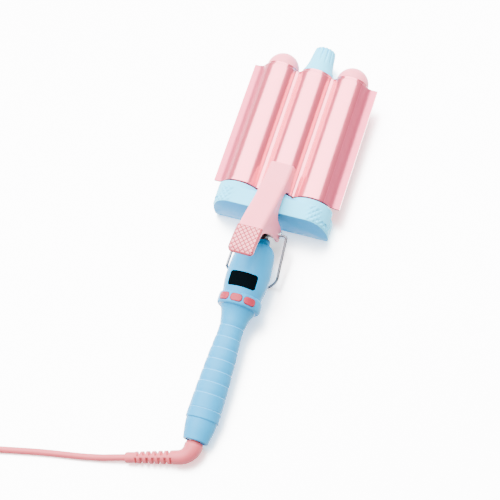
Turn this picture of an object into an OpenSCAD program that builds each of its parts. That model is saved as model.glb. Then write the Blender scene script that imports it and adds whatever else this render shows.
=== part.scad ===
// Triple-barrel hair crimper with a corrugated clamp plate, a spring lever,
// a folding wire stand and a swivelling mains cord.
// Millimetres, +Y towards the barrel tips, +Z up, the tool lying on a table.

/* [Barrels] */
// Outer diameter of each heated barrel
barrel_d = 32; // [31:0.5:32.5]
// Distance between the axes of neighbouring barrels
barrel_pitch = 35.4; // [35:0.1:36]
// Distance from the heat guard's back face to the end caps
barrel_reach = 157; // [154:1:162]
// Wall of the barrel tubes
barrel_wall = 1.5; // [1.2:0.1:2]
// Length of the cool tip on the middle barrel
cool_tip_l = 29.5; // [28:0.5:32]
// Flutes round the cool tip
cool_tip_flutes = 14; // [12:1:16]

/* [Heat guard] */
// Width of the heat guard across the three barrels
guard_w = 114; // [112:1:116]
// Height of the heat guard
guard_h = 42; // [42:0.5:43]
// Length of the heat guard's body along the barrels
guard_l = 16.5; // [16:0.5:17]

/* [Clamp] */
// Width of the corrugated plate
plate_w = 125; // [123:1:128]
// Length of the corrugated plate
plate_l = 129.5; // [126:0.5:130]
// Thickness of the corrugated plate
plate_t = 1.7; // [1.4:0.1:1.8]
// Space for hair between plate and barrels
plate_gap = 0.9; // [0.8:0.1:1]
// Width of the lever
lever_w = 23.4; // [22.6:0.2:24]
// Diameter of the hinge pin
pin_d = 5; // [4.8:0.1:5.2]

/* [Handle] */
// Angle of the handle below the plane of the barrels
handle_pitch = 4; // [3.8:0.1:4.2]
// Diameter of the belly with the display
belly_d = 41; // [40.6:0.1:41.4]
// Smallest diameter of the grip
waist_d = 23.2; // [22.8:0.1:24]
// Diameter of the band that the tail rests on
band_d = 31; // [30.8:0.1:31.4]
// Diameter of the tail's end
tail_d = 23.6; // [23:0.1:24.4]
// Diameter of the collar that carries the buttons
collar_d = 41.4; // [41.2:0.1:42]
// Ring grooves round the grip
grip_grooves = 7; // [5:1:7]

/* [Stand] */
// Diameter of the stand's wire
stand_wire_d = 2.6; // [2.4:0.1:2.8]

/* [Cord] */
// Diameter of the mains cord
cord_d = 6.2; // [6:0.1:6.4]
// Full turns of the cord in each layer of its coil
coil_turns = 2; // [1:1:2]
// Layers of the coil
coil_layers = 4; // [2:2:4]
// Radius of the coil's innermost turn
coil_inner_r = 33; // [30:1:34]

/* [Hidden] */
$fn = 96;

blue = "#8fc7e2";
pale_blue = "#b7dcee";
pink = "#f2b6c0";
coral = "#ef8a93";
cord_pink = "#edaeb0";

// Places along Y: the guard's back face, its front, the plate's ends and the caps.
guard_y = 35;
guard_front_y = guard_y + guard_l;
guard_collar_l = 5.7;
// Width and drop of the guard's sloping shoulders, and its lower corners' radius.
shoulder_w = 19;
shoulder_drop = 33;
guard_low_r = 5;
plate_y0 = guard_y + 24;
cap_y = guard_y + barrel_reach;
guard_wall = 2.4;
mounting_plate_y = guard_y + 7;
mounting_plate_t = 1.6;
barrel_y0 = mounting_plate_y + mounting_plate_t;
spigot_play = 0.03;

// Heights above the table.
barrel_r = barrel_d / 2;
barrel_z = guard_h / 2;
band_r = band_d / 2;
band_s0 = 192.5;
band_s1 = 202.7;
axis_z = band_s1 * sin(handle_pitch) + band_r * cos(handle_pitch);

// The clamp's corrugation, measured from a barrel's axis.
plate_in_r = barrel_r + plate_gap;
plate_out_r = plate_in_r + plate_t;
valley_r = 3.6;
valley_x = barrel_pitch / 2;
valley_z = sqrt(pow(plate_out_r + valley_r, 2) - pow(valley_x, 2));
flare_r = 8;
flare_z = 4.5;
flare_angle = acos((flare_z + flare_r) / (plate_out_r + flare_r));
flare_x = barrel_pitch + (plate_out_r + flare_r) * sin(flare_angle);

// The hinge that the lever and the stand turn on.
hinge_y = guard_y - 15;
hinge_z = 26.5;
pin_bore_r = stand_wire_d / 2 + 0.1;
pin_l = 35;
bore_play = 0.05;
cheek_t = 3;
cheek_x = lever_w / 2 - 0.1;
cheek_top_z = 52;
cheek_lean = 6.6;
lever_wall = 2.4;
// Side profile of the lever as [distance in front of the guard's back face, height].
lever_top = [[50, 43], [42, 44.8], [28, 49.4], [12.4, 56], [2, 61], [-8.8, 67],
    [-20, 73.3], [-31, 78.8], [-45.6, 83.4], [-58, 85.8]];
lever_tip = [[-60.6, 85.4], [-62, 83.8], [-61.6, 82], [-59.6, 81]];
lever_under = [[-45, 78.6], [-36, 74.6]];
lever_back = [[-32, 68], [-25, 50], [-22.5, 37]];
lever_front_under = [[0, 46.6], [19, 45.6], [24, 42.6], [26, 37], [50, 37]];
pad_front = -33;
pad_back = -60.2;
pad_t = 1.4;
pad_pitch = 2.7;
pad_groove_w = 0.7;
pad_groove_floor = 0.2;

// The handle, along its own axis from the guard's back face.
shoulder_s = 29;
collar_s0 = 82.5;
collar_s1 = 94.7;
collar_mid_s = (collar_s0 + collar_s1) / 2;
tail_s = 222.3;
shell_wall = 2.2;
belly_r = belly_d / 2;
waist_r = waist_d / 2;
collar_r = collar_d / 2;
collar_seat_r = 16.8;
collar_in_r = 17.5;
front_profile = [[shoulder_s, 11.6], [30, 13], [31, 14.2], [33, 16], [37, 17.8],
    [44.2, belly_r - 1.2], [56, belly_r - 0.25], [64, belly_r], [72, belly_r - 0.4],
    [78, belly_r - 1.3], [collar_s0, belly_r - 2.2]];
grip_profile = [[collar_s1, 17], [97, 15.8], [100, 14.4], [106, waist_r + 1.15],
    [115.4, waist_r], [123, waist_r + 0.4], [131.7, waist_r + 1.05],
    [143.3, waist_r + 1.9], [154.8, waist_r + 2.4], [166.3, waist_r + 3],
    [177.7, waist_r + 3.45], [band_s0, waist_r + 3.7]];
tail_profile = [[band_s1, band_r - 0.9], [207, band_r - 1.25], [211.7, band_r - 1.8],
    [218, tail_d / 2 + 0.7], [tail_s - 1, tail_d / 2 + 0.1], [tail_s, tail_d / 2 - 0.8]];
groove_s0 = 113;
groove_step = 11;
groove_r = 0.7;
display_s = 70.6;
display_l = 14.2;
display_w = 26.4;
lens_t = 1.6;
board_y = 3.4;
board_t = 1.6;

// Buttons on the collar: angle from the top and width across.
button_angles = [37.5, 0, -37.5];
button_widths = [10.8, 9.6, 10.8];
button_l = 7;
button_gap = 0.3;
button_rise = 0.6;

// Swivel and strain relief, along the handle's axis.
swivel_r = 4.54;
swivel_bore_r = 4.6;
relief_s = 223.3;
relief_straight = 3;
relief_bend_r = 14;
relief_bend = 75;
relief_arm = 49.6;
relief_drop = 5;
relief_ribs = 8;

// Route of the cord from the strain relief to its coil, lying on the table.
cord_r = cord_d / 2;
coil_pitch = cord_d + 0.6;
coil_layer_h = cord_d + 0.6;
coil_r = coil_inner_r + coil_turns * coil_pitch;
coil_x = -228;
coil_top_y = -250;
coil_y = coil_top_y - coil_r;
coil_z1 = cord_r + (coil_layers - 1) * coil_layer_h;
run_out = 7;
lead_route = [[-80, -222.6, 4.6], [-100, -226.8, 3.4], [-135, -233, cord_r],
    [-172, -241, cord_r], [-200, -247.4, cord_r]];
tail_route = [[-252, -253, 21], [-272, -262, 14.6], [-286, -279, 8], [-291, -299, 4.4],
    [-290, -317, 5]];
plug_x = -288;
plug_y = -338;
plug_w = 34;
plug_t = 13.6;
plug_l = 38;
plug_pin_d = 4;
plug_pin_l = 19;
plug_pin_pitch = 19;

// The stand's wire, right half, from the bore of the hinge pin to the middle of the loop.
stand_route = [[18.8, 0, 0], [22.3, 0, 0], [25.2, -38.5, -8.8], [21.8, -40.5, -19.4],
    [17, -44, -25.1], [0, -46.6, -25.1]];
stand_end_x = 13.2;
stand_end_l = 10.6;
stand_bend_r = 3.2;

// ---- functions ----

function unit(v) = v / norm(v);
function spline_at(a, b, c, d, t) =
    0.5 * (2 * b + (c - a) * t + (2 * a - 5 * b + 4 * c - d) * t * t
    + (3 * b - a - 3 * c + d) * t * t * t);
// A smooth run through all the points of p, with n steps between neighbours.
function smooth(p, n) = let(m = len(p) - 1) concat(
    [for (i = [0:m - 1], k = [0:n - 1])
        spline_at(p[max(i - 1, 0)], p[i], p[i + 1], p[min(i + 2, m)], k / n)],
    [p[m]]);
function tangents(p) = let(m = len(p) - 1)
    [for (i = [0:m]) unit(p[min(i + 1, m)] - p[max(i - 1, 0)])];
function square_to(n, t) = unit(n - (n * t) * t);
function normals(t, first) =
    [for (i = 0, n = square_to(first, t[0]); i < len(t);
        i = i + 1, n = i < len(t) ? square_to(n, t[i]) : n) n];
function arc(c, r, a0, a1, n) =
    [for (k = [0:n]) c + r * [cos(a0 + (a1 - a0) * k / n), sin(a0 + (a1 - a0) * k / n)]];
function sum_steps(p) = [for (i = [1:len(p) - 1]) norm(p[i] - p[i - 1])]
    * [for (i = [1:len(p) - 1]) 1];
function rounded_corner(a, b, c, r, n) =
    let(u = unit(a - b), v = unit(c - b), half = acos(u * v) / 2,
        cut = r / tan(half), mid = b + unit(u + v) * r / sin(half),
        p = b + u * cut - mid, q = b + v * cut - mid, turn = 180 - 2 * half)
    [for (k = [0:n]) mid + (sin(turn * (1 - k / n)) * p + sin(turn * k / n) * q) / sin(turn)];
function rounded_path(p, r, n) = concat([p[0]],
    [for (i = [1:len(p) - 2]) each rounded_corner(p[i - 1], p[i], p[i + 1], r, n)],
    [p[len(p) - 1]]);

// The coil: loops spiral in and out, and climb a layer round each turning point.
function coil_radius(t) = let(w = t % (2 * coil_turns))
    coil_r - coil_pitch * (w <= coil_turns ? w : 2 * coil_turns - w);
function coil_height(t) = cord_r + coil_layer_h
    * max(0, min(coil_layers - 1, let(k = floor(t / coil_turns + 0.5), d = t - k * coil_turns)
        k - 1 + max(0, min(1, 0.5 + 2 * d))));
function coil_point(t) = let(a = 90 + 360 * t)
    [coil_x + coil_radius(t) * cos(a), coil_y + coil_radius(t) * sin(a), coil_height(t)];
coil_rings = 24;
coil_points = [for (i = [0:coil_rings * coil_turns * coil_layers]) coil_point(i / coil_rings)];
coil_path = concat([[coil_x + run_out, coil_top_y, cord_r]], coil_points,
    [[coil_x - run_out, coil_top_y, coil_z1]]);
coil_least_gap = min([for (i = [0:len(coil_points) - 1 - coil_rings],
    j = [i + coil_rings:coil_rings:len(coil_points) - 1])
        norm(coil_points[i] - coil_points[j])]) - cord_d;

// ---- shared shapes ----

// One unbroken tube along path; radii holds one radius for each point of it.
module tube(path, radii, sides, first = [0, 0, 1]) {
    t = tangents(path);
    n = normals(t, first);
    m = len(path);
    rings = [for (i = [0:m - 1], k = [0:sides - 1])
        let(a = 360 * k / sides) path[i]
            + radii[i] * (cos(a) * n[i] + sin(a) * cross(t[i], n[i]))];
    walls = [for (i = [0:m - 2], k = [0:sides - 1]) let(a = i * sides + k,
        b = i * sides + (k + 1) % sides)
            each [[a, a + sides, b + sides], [a, b + sides, b]]];
    start = [for (k = [1:sides - 2]) [0, k, k + 1]];
    end = [for (k = [1:sides - 2]) let(e = (m - 1) * sides) [e, e + k + 1, e + k]];
    polyhedron(rings, concat(walls, start, end), convexity = 10);
}

// Children drawn in the plane [Y, Z] become w thick along X.
module side_on(w) {
    rotate([90, 0, 90]) linear_extrude(w, center = true) children();
}

// Children drawn in the plane [X, Z] become a length along +Y from y0.
module along_y(y0, l) {
    translate([0, y0 + l, 0]) rotate([90, 0, 0]) linear_extrude(l) children();
}

// Local Z runs down the handle's axis from the guard's back face, local Y is up.
module on_handle() {
    translate([0, guard_y, axis_z]) rotate([90 + handle_pitch, 0, 0]) children();
}

module at_barrel(i) {
    translate([i * barrel_pitch, 0, barrel_z]) rotate([-90, 0, 0]) children();
}

module rounded_block(size, r) {
    linear_extrude(size[2]) union() {
        square([size[0] - 2 * r, size[1]], center = true);
        square([size[0], size[1] - 2 * r], center = true);
        for (x = [-1, 1], y = [-1, 1])
            translate([x * (size[0] / 2 - r), y * (size[1] / 2 - r)]) circle(r = r);
    }
}

// ---- barrels ----

module barrel(i) {
    color(pink) at_barrel(i) translate([0, 0, barrel_y0]) difference() {
        cylinder(h = cap_y - barrel_y0, r = barrel_r);
        translate([0, 0, -1]) cylinder(h = cap_y, r = barrel_r - barrel_wall);
    }
}
module barrel_left() { barrel(-1); }
module barrel_middle() { barrel(0); }
module barrel_right() { barrel(1); }

// Domed cap with a hollow spigot that plugs the tube.
module barrel_cap(i) {
    color(pink) at_barrel(i) translate([0, 0, cap_y]) difference() {
        union() {
            intersection() {
                sphere(r = barrel_r);
                cylinder(h = barrel_r, r = barrel_r + 1);
            }
            translate([0, 0, -8]) cylinder(h = 9, r = barrel_r - barrel_wall - spigot_play);
        }
        translate([0, 0, -9]) cylinder(h = 14, r = barrel_r - 2 * barrel_wall - 1);
    }
}
module barrel_cap_left() { barrel_cap(-1); }
module barrel_cap_right() { barrel_cap(1); }

cool_tip_profile = [[0, barrel_r - 0.3], [2, barrel_r - 0.5], [5, barrel_r - 1.6],
    [9, barrel_r - 2.9], [14, barrel_r - 3.9], [19, barrel_r - 4.7], [24, barrel_r - 5.3],
    [cool_tip_l - 1.5, barrel_r - 6], [cool_tip_l - 0.4, barrel_r - 7], [cool_tip_l, barrel_r - 8.5]];

module cool_tip() {
    flute_r = 1.5;
    color(pale_blue) at_barrel(0) translate([0, 0, cap_y]) {
        difference() {
            rotate_extrude() polygon(concat([[0, 0]],
                [for (p = smooth(cool_tip_profile, 3)) [p[1], p[0]]], [[0, cool_tip_l]]));
            for (k = [0:cool_tip_flutes - 1]) rotate([0, 0, 360 * k / cool_tip_flutes])
                translate([barrel_r - 2.2, 0, 7]) rotate([0, -9.5, 0])
                    cylinder(h = cool_tip_l, r = flute_r, $fn = 24);
        }
        translate([0, 0, -8]) cylinder(h = 9, r = barrel_r - barrel_wall - spigot_play);
    }
}

// Two half-round aluminium shoes clamp a flat ceramic heater inside each barrel.
module heater(i) {
    shoe_r = barrel_r - barrel_wall - 0.15;
    core_t = 3.2;
    color("#c9c9cf") at_barrel(i) translate([0, 0, barrel_y0 + 12]) difference() {
        union() {
            difference() {
                cylinder(h = 96, r = shoe_r);
                cube([60, core_t, 300], center = true);
                for (s = [-1, 1]) {
                    translate([0, s * 7.4, -1]) cylinder(h = 200, r = 4.6);
                    for (x = [-8.3, 8.3]) translate([x, s * 5.2, -1]) cylinder(h = 200, r = 3);
                }
            }
            translate([-10, -core_t / 2, 3]) cube([20, core_t, 90]);
        }
        translate([-7.5, -0.5, -1]) cube([15, 1, 20]);
    }
}
module heater_left() { heater(-1); }
module heater_middle() { heater(0); }
module heater_right() { heater(1); }

module thermal_fuse() {
    color("#b8a26a") at_barrel(1) translate([0, 8.4, barrel_y0 + 20]) {
        cylinder(h = 12, r = 2);
        translate([0, 0, -22]) cylinder(h = 46, r = 0.5, $fn = 24);
    }
}

module temperature_probe() {
    color("#8a4b3c") at_barrel(0) translate([0, 8, barrel_y0 + 60]) {
        sphere(r = 1.8, $fn = 32);
        translate([0, 0, -62]) cylinder(h = 62, r = 0.7, $fn = 24);
    }
}

// ---- heat guard ----

module guard_outline(inset) {
    w = guard_w / 2 - inset;
    h = guard_h / 2 - inset;
    shoulder = [for (k = [0:12]) [guard_w / 2 - shoulder_w + (shoulder_w - inset) * sin(7.5 * k),
        guard_h / 2 - shoulder_drop + (shoulder_drop - inset) * cos(7.5 * k)]];
    corner = arc([guard_w / 2 - guard_low_r, guard_low_r - guard_h / 2], guard_low_r - inset, 0, -90, 5);
    half = concat(shoulder, corner);
    translate([0, barrel_z]) polygon(concat(half,
        [for (i = [len(half) - 1:-1:0]) [-half[i][0], half[i][1]]]));
}

guard_screw_places = [[-44, 4.7], [-valley_x, 4.7], [valley_x, 4.7], [44, 4.7]];
guard_screw_l = 30;

module guard_body() {
    difference() {
        union() {
            along_y(guard_y, guard_l) guard_outline(0);
            for (i = [-1:1]) at_barrel(i)
                translate([0, 0, guard_front_y - 1]) cylinder(h = guard_collar_l + 1, r = guard_h / 2);
            along_y(guard_front_y - 1, guard_collar_l + 1) intersection() {
                guard_outline(0);
                for (s = [-1, 1]) translate([s * (barrel_pitch + 50), barrel_z])
                    square([100, 2 * guard_h], center = true);
            }
        }
        difference() {
            along_y(guard_y + guard_wall, 11.6) guard_outline(guard_wall);
            for (p = guard_screw_places) translate([p[0], guard_y + p[1] - 1, 0])
                cylinder(h = guard_h, r = 3.1);
            translate([0, guard_y + guard_wall + 1.4, axis_z])
                cube([30, 2.8, 18], center = true);
        }
        for (i = [-1:1]) at_barrel(i)
            translate([0, 0, barrel_y0 - 0.2]) cylinder(h = 60, r = barrel_r + 0.03);
        translate([-47, mounting_plate_y, barrel_z - 14.5])
            cube([94, mounting_plate_t, 29]);
        for (p = guard_screw_places) translate([p[0], guard_y + p[1], 0]) {
            translate([0, 0, -1]) cylinder(h = guard_screw_l + 3, r = 1.1);
            translate([0, 0, -1]) cylinder(h = 3.6, r = 2.5);
        }
        on_handle() translate([0, 0, -6]) cylinder(h = 12, r = neck_r + 0.03);
    }
}

module heat_guard_upper() {
    color(pale_blue) intersection() {
        guard_body();
        translate([-guard_w, 0, barrel_z]) cube([2 * guard_w, 200, guard_h]);
    }
}

module heat_guard_lower() {
    color(pale_blue) intersection() {
        guard_body();
        translate([-guard_w, 0, -1]) cube([2 * guard_w, 200, barrel_z + 1]);
    }
}

module barrel_mounting_plate() {
    color("#9a9aa2") difference() {
        translate([-46.8, mounting_plate_y, barrel_z - 14.3])
            cube([93.6, mounting_plate_t, 28.6]);
        for (i = [-1:1]) at_barrel(i)
            translate([0, 0, mounting_plate_y - 1]) cylinder(h = 5, r = 9);
    }
}

module guard_screws() {
    color("silver") for (p = guard_screw_places) translate([p[0], guard_y + p[1], 0]) {
        translate([0, 0, 0.8]) difference() {
            cylinder(h = 1.8, r = 2.3);
            for (a = [0, 90]) rotate([0, 0, a]) cube([2.8, 0.6, 2], center = true);
        }
        translate([0, 0, 2]) cylinder(h = guard_screw_l - 2, r = 1.1);
    }
}

// ---- neck, hinge and spring ----

neck_r = 9.5;
neck_slim = 10.4;
slim_s0 = 6.5;
slim_s1 = 23.5;
flange_s = 33.2;

// The neck joins guard and handle. It is slim where the spring coils sit on its pin, and a
// flange keeps it in the handle.
module hinge_neck() {
    color("#4f86a8") difference() {
        on_handle() difference() {
            union() {
                translate([0, 0, -5.4]) cylinder(h = 5.4 + flange_s, r = neck_r);
                translate([0, 0, flange_s]) cylinder(h = 2, r = neck_r + 2.5);
            }
            for (s = [-1, 1]) translate([s * (neck_slim / 2 + 10), 0, (slim_s0 + slim_s1) / 2])
                cube([20, 40, slim_s1 - slim_s0], center = true);
            translate([0, 5.2, -10]) cylinder(h = 60, r = 2.6);
        }
        translate([-30, hinge_y, hinge_z]) rotate([0, 90, 0]) cylinder(h = 60, r = pin_d / 2);
    }
}

// Tubular pin; the stand's ends turn inside its bore.
module hinge_pin() {
    color("silver") translate([-pin_l / 2, hinge_y, hinge_z]) rotate([0, 90, 0])
        difference() {
            union() {
                cylinder(h = pin_l, r = pin_d / 2);
                for (x = [0, pin_l - 1]) translate([0, 0, x]) cylinder(h = 1, r = 3.8);
            }
            translate([0, 0, -1]) cylinder(h = pin_l + 2, r = pin_bore_r);
        }
}

spring_wire_r = 0.6;
spring_r = 3.9;
spring_pitch = 1.65;
spring_x = 5.95;
// Angles at which the wire runs onto its coil and off it again, close to three turns later.
spring_a0 = 60;
spring_a1 = -885;
spring_steps = 21;
// One arm of the double torsion spring, from its bridge over the neck to its leg.
function spring_arm(side) = concat(
    [[side * 3, -12, 12.4], [side * 5.4, -11.2, 12], [side * spring_x, -8, 9.2]],
    [for (i = [0:spring_steps]) let(a = spring_a0 + (spring_a1 - spring_a0) * i / spring_steps,
        x = spring_x + spring_pitch * (spring_a0 - a) / 360)
        [side * x, spring_r * cos(a), spring_r * sin(a)]],
    [[side * 9.7, -5.6, 7], [side * 7.9, -9, 22], [side * 6.8, -11.4, 31]]);
spring_path = concat([for (i = [spring_steps + 6:-1:0]) spring_arm(-1)[i]], spring_arm(1));

module torsion_spring() {
    color("#3a3a40") translate([0, hinge_y, hinge_z])
        tube(spring_path, [for (p = spring_path) spring_wire_r], 6, [0, 1, 0.3]);
}

// ---- clamp ----

// Half of the plate's upper edge line (out) or lower edge line, from the middle to the rim:
// over the middle barrel, through a valley, over the next barrel and out to a flat flare.
function plate_edge(out) =
    let(valley = atan2(valley_x, valley_z), cover = out ? plate_out_r : plate_in_r,
        dip = out ? valley_r : valley_r + plate_t, sweep = out ? flare_r : flare_r + plate_t)
    concat(arc([0, 0], cover, 90, 90 - valley, 10),
        after_first(arc([valley_x, valley_z], dip, 270 - valley, 270 + valley, 10)),
        after_first(arc([barrel_pitch, 0], cover, 90 + valley, 90 - flare_angle, 18)),
        after_first(arc([flare_x, flare_z + flare_r], sweep, 270 - flare_angle, 270, 8)),
        [[plate_w / 2, out ? flare_z : flare_z - plate_t]]);
function after_first(p) = [for (i = [1:len(p) - 1]) p[i]];
function both_sides(p) = concat([for (i = [len(p) - 1:-1:1]) [-p[i][0], p[i][1]]], p);

// Sheet of even thickness that follows the barrels, with valleys between and flared rims.
module plate_section() {
    lower = both_sides(plate_edge(false));
    polygon(concat(both_sides(plate_edge(true)), [for (i = [len(lower) - 1:-1:0]) lower[i]]));
}

rivet_ys = [guard_y + 29, guard_y + 45];

module clamp_plate() {
    color(pink) difference() {
        translate([0, 0, barrel_z]) along_y(plate_y0, plate_l) plate_section();
        for (y = rivet_ys) translate([0, y, barrel_z]) cylinder(h = 40, r = 2.5);
    }
}

lever_curve = smooth(lever_top, 3);
boss_r = 7;
boss_points = [for (a = [180:15:360]) [hinge_y - guard_y + boss_r * cos(a),
    hinge_z + boss_r * sin(a)]];
cheek_front = [[-8, 32], [-7.4, 40], [-3, 46.6], [2, 52]];

module at_guard() { translate([0, guard_y, 0]) children(); }

module lever_plan() {
    tip_r = 3.6;
    w = lever_w / 2;
    polygon(concat([[50, -w - 0.4], [50, w + 0.4], [12, w], [-30, w - 0.3], [-58 + tip_r, w - 0.2]],
        arc([-62 + tip_r, w - 0.2 - tip_r], tip_r, 90, 180, 8),
        arc([-62 + tip_r, -w + 0.2 + tip_r], tip_r, 180, 270, 8),
        [[-58 + tip_r, -w + 0.2], [-30, -w + 0.3], [12, -w]]));
}

module lever_envelope() {
    at_guard() rotate([0, 0, 90]) mirror([0, 1, 0])
        linear_extrude(120) lever_plan();
}

module clamp_lever() {
    hollow_top = [for (p = lever_curve) if (p[0] < 21 && p[0] > -33) p - [0, 3.1]];
    color(pink) difference() {
        union() {
            intersection() {
                difference() {
                    at_guard() side_on(40) polygon(concat(lever_curve, lever_tip, lever_under,
                        [[-34, 71], [-22, 58], [-12, 46.6]], lever_front_under));
                    at_guard() side_on(lever_w - 2 * lever_wall)
                        polygon(concat(hollow_top, [[-33, 60], [-33, 40], [21, 40]]));
                }
                lever_envelope();
            }
            for (s = [-1, 1]) translate([s * cheek_x, 0, cheek_top_z])
                rotate([0, -s * cheek_lean, 0])
                    translate([-s * cheek_t / 2, guard_y, -cheek_top_z]) side_on(cheek_t)
                        polygon(concat(lever_back, boss_points, cheek_front,
                            [[-2, 56], [-12, 62], [-26, 69.5]]));
            along_y(guard_y + 25, 25)
                polygon([[-14.4, 33.4], [14.4, 33.4], [11.8, 42.4], [-11.8, 42.4]]);
        }
        at_barrel(0) translate([0, 0, guard_front_y]) cylinder(h = 60, r = plate_out_r);
        translate([-30, hinge_y, hinge_z]) rotate([0, 90, 0])
            cylinder(h = 60, r = pin_d / 2 + bore_play);
        for (y = rivet_ys) translate([0, y, barrel_z]) cylinder(h = plate_in_r + plate_t + 2.7, r = 2.5);
        pad_seat(0);
    }
}

pad_line = [for (p = lever_curve) if (p[0] < -31) p];

// A layer along the lever's top, between two heights above its top line.
module top_layer(w, low, high) {
    at_guard() side_on(w) polygon(concat([for (p = pad_line) p + [0, high]],
        [[pad_back - 1, 85.4 + high], [pad_back - 1, 85.4 + low]],
        [for (i = [len(pad_line) - 1:-1:0]) pad_line[i] + [0, low]]));
}

// The thumb pad lies in a shallow seat on the lever, its own thickness proud by half.
module pad_seat(gap) {
    intersection() {
        top_layer(lever_w - 2 - 2 * gap, -pad_t / 2, pad_t / 2);
        lever_envelope();
        translate([-20, guard_y + pad_back + gap, 60]) cube([40, pad_front - pad_back - 2 * gap, 40]);
    }
}

// Crossing grooves leave rows of lozenges.
module thumb_pad() {
    mid = (pad_front + pad_back) / 2;
    color(coral) difference() {
        pad_seat(0.02);
        intersection() {
            top_layer(lever_w, pad_groove_floor, 3);
            for (d = [-1, 1], k = [-7:7]) at_guard() translate([0, mid, 0]) rotate([0, 0, d * 41])
                translate([(k + 0.5) * pad_pitch - pad_groove_w / 2, -25, 60])
                    cube([pad_groove_w, 50, 40]);
        }
    }
}

module lever_rivets() {
    color("silver") for (y = rivet_ys) translate([0, y, barrel_z]) {
        translate([0, 0, plate_in_r - 0.4]) cylinder(h = plate_t + 3, r = 2.5);
        translate([0, 0, plate_in_r - 0.8]) cylinder(h = 0.4, r = 3.4);
    }
}

// ---- stand ----

// The wire's ends are true shafts in the pin's bore; the rest is one bent run.
module stand_wire() {
    r = stand_wire_d / 2;
    right = concat([stand_route[0] - [1, 0, 0], stand_route[0] - [0.5, 0, 0]],
        rounded_path(stand_route, stand_bend_r, 4));
    left = [for (i = [len(right) - 2:-1:0]) [-right[i][0], right[i][1], right[i][2]]];
    path = concat(right, left);
    last = len(path) - 1;
    color("#d5d5da") translate([0, hinge_y, hinge_z]) {
        tube(path, [for (i = [0:last]) i < 2 || i > last - 2 ? 0.85 * r : r], 10, [0, 1, 0.2]);
        for (x = [-1, 1]) translate([x * stand_end_x, 0, 0]) rotate([0, 90, 0])
            cylinder(h = stand_end_l, r = r, center = true);
    }
}

// ---- handle ----

function as_profile(p) = [for (q = smooth(p, 3)) [q[1], q[0]]];
handle_outer = concat(as_profile(front_profile),
    [[collar_seat_r, collar_s0], [collar_seat_r, collar_s1]], as_profile(grip_profile),
    [[0, band_s0], [0, shoulder_s]]);
handle_inner = concat([for (q = as_profile(front_profile)) if (q[1] > 32) q - [shell_wall, 0]],
    [[collar_seat_r - shell_wall, collar_s0], [collar_seat_r - shell_wall, collar_s1]],
    [for (q = as_profile(grip_profile)) q - [shell_wall, 0]],
    [[0, band_s0], [0, 32]]);
handle_screw_s = [104, 150, 184];

module handle_body() {
    difference() {
        rotate_extrude() polygon(handle_outer);
        difference() {
            rotate_extrude() polygon(handle_inner);
            for (s = handle_screw_s) translate([0, 0, s]) rotate([90, 0, 0])
                cylinder(h = 60, r = 3, center = true);
        }
        translate([0, 0, 28]) cylinder(h = 5, r = neck_r + 0.03);
        for (k = [0:grip_grooves - 1]) translate([0, 0, groove_s0 + k * groove_step])
            groove_ring(lookup(groove_s0 + k * groove_step, grip_profile) + 0.2);
        for (s = handle_screw_s) translate([0, 0, s]) rotate([90, 0, 0]) {
            translate([0, 0, -7]) cylinder(h = 40, r = 1.1);
            translate([0, 0, 7.5]) cylinder(h = 30, r = 2.5);
        }
    }
}

module groove_ring(r) {
    rotate_extrude() translate([r, 0]) circle(r = groove_r, $fn = 24);
}

// What the display window and the button stems pass through.
module upper_openings() {
    translate([-display_w / 2, 6, display_s - display_l / 2]) cube([display_w, 30, display_l]);
    translate([-15.4, 6, collar_s0 + 1]) cube([30.8, 30, collar_s1 - collar_s0 - 2]);
}

module handle_upper_shell() {
    color(blue) on_handle() intersection() {
        difference() {
            handle_body();
            upper_openings();
        }
        translate([-50, 0.05, 0]) cube([100, 50, 300]);
    }
}

module handle_lower_shell() {
    color(blue) on_handle() intersection() {
        handle_body();
        translate([-50, -50.05, 0]) cube([100, 50, 300]);
    }
}

module display_lens() {
    depth = [for (q = as_profile(front_profile)) if (q[1] > 60 && q[1] < 81) q];
    color("#0a1418") on_handle() intersection() {
        rotate_extrude() polygon(concat(depth,
            [for (i = [len(depth) - 1:-1:0]) depth[i] - [lens_t, 0]]));
        translate([-display_w / 2 + 0.1, 6, display_s - display_l / 2 + 0.1])
            cube([display_w - 0.2, 30, display_l - 0.2]);
    }
}

module display_module() {
    color("#22303a") on_handle() translate([-11.5, board_y + board_t, display_s - 6.4])
        cube([23, 8.6, 12.8]);
}

module control_board() {
    color("#2f6b3c") on_handle() {
        translate([-12, board_y, 42]) cube([24, board_t, 52]);
        translate([-8, board_y + board_t, 46]) cube([10, 5, 12]);
        translate([-9, board_y - 6, 60]) cube([14, 6, 14]);
    }
}

// An arc-shaped carrier holds one switch under each button.
module button_switches() {
    carrier_r = 10.6;
    top_r = collar_seat_r - shell_wall - 1.4;
    color("#202020") on_handle() translate([0, 0, collar_mid_s]) {
        intersection() {
            translate([0, 0, -3]) rotate_extrude()
                polygon([[carrier_r - 1.4, 0], [carrier_r, 0], [carrier_r, 6], [carrier_r - 1.4, 6]]);
            translate([-20, board_y + board_t, -5]) cube([40, 20, 10]);
        }
        for (a = button_angles) rotate([0, 0, a])
            translate([-2.5, carrier_r - 0.4, -2.5]) cube([5, top_r - carrier_r, 5]);
    }
}

module button_collar() {
    r0 = collar_in_r;
    r1 = collar_r;
    e = 0.8;
    color(blue) on_handle() difference() {
        rotate_extrude() polygon([[r0, collar_s0], [r1 - e, collar_s0], [r1 - 0.2, collar_s0 + 0.3],
            [r1, collar_s0 + e], [r1, collar_s1 - e], [r1 - 0.2, collar_s1 - 0.3],
            [r1 - e, collar_s1], [collar_seat_r + 0.02, collar_s1],
            [collar_seat_r + 0.02, collar_s1 - 1.4], [r0, collar_s1 - 1.4]]);
        for (k = [0:2]) rotate([0, 0, button_angles[k]])
            translate([-button_widths[k] / 2 - button_gap, 12, collar_mid_s - button_l / 2 - button_gap])
                cube([button_widths[k] + 2 * button_gap, 20, button_l + 2 * button_gap]);
    }
}

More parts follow.
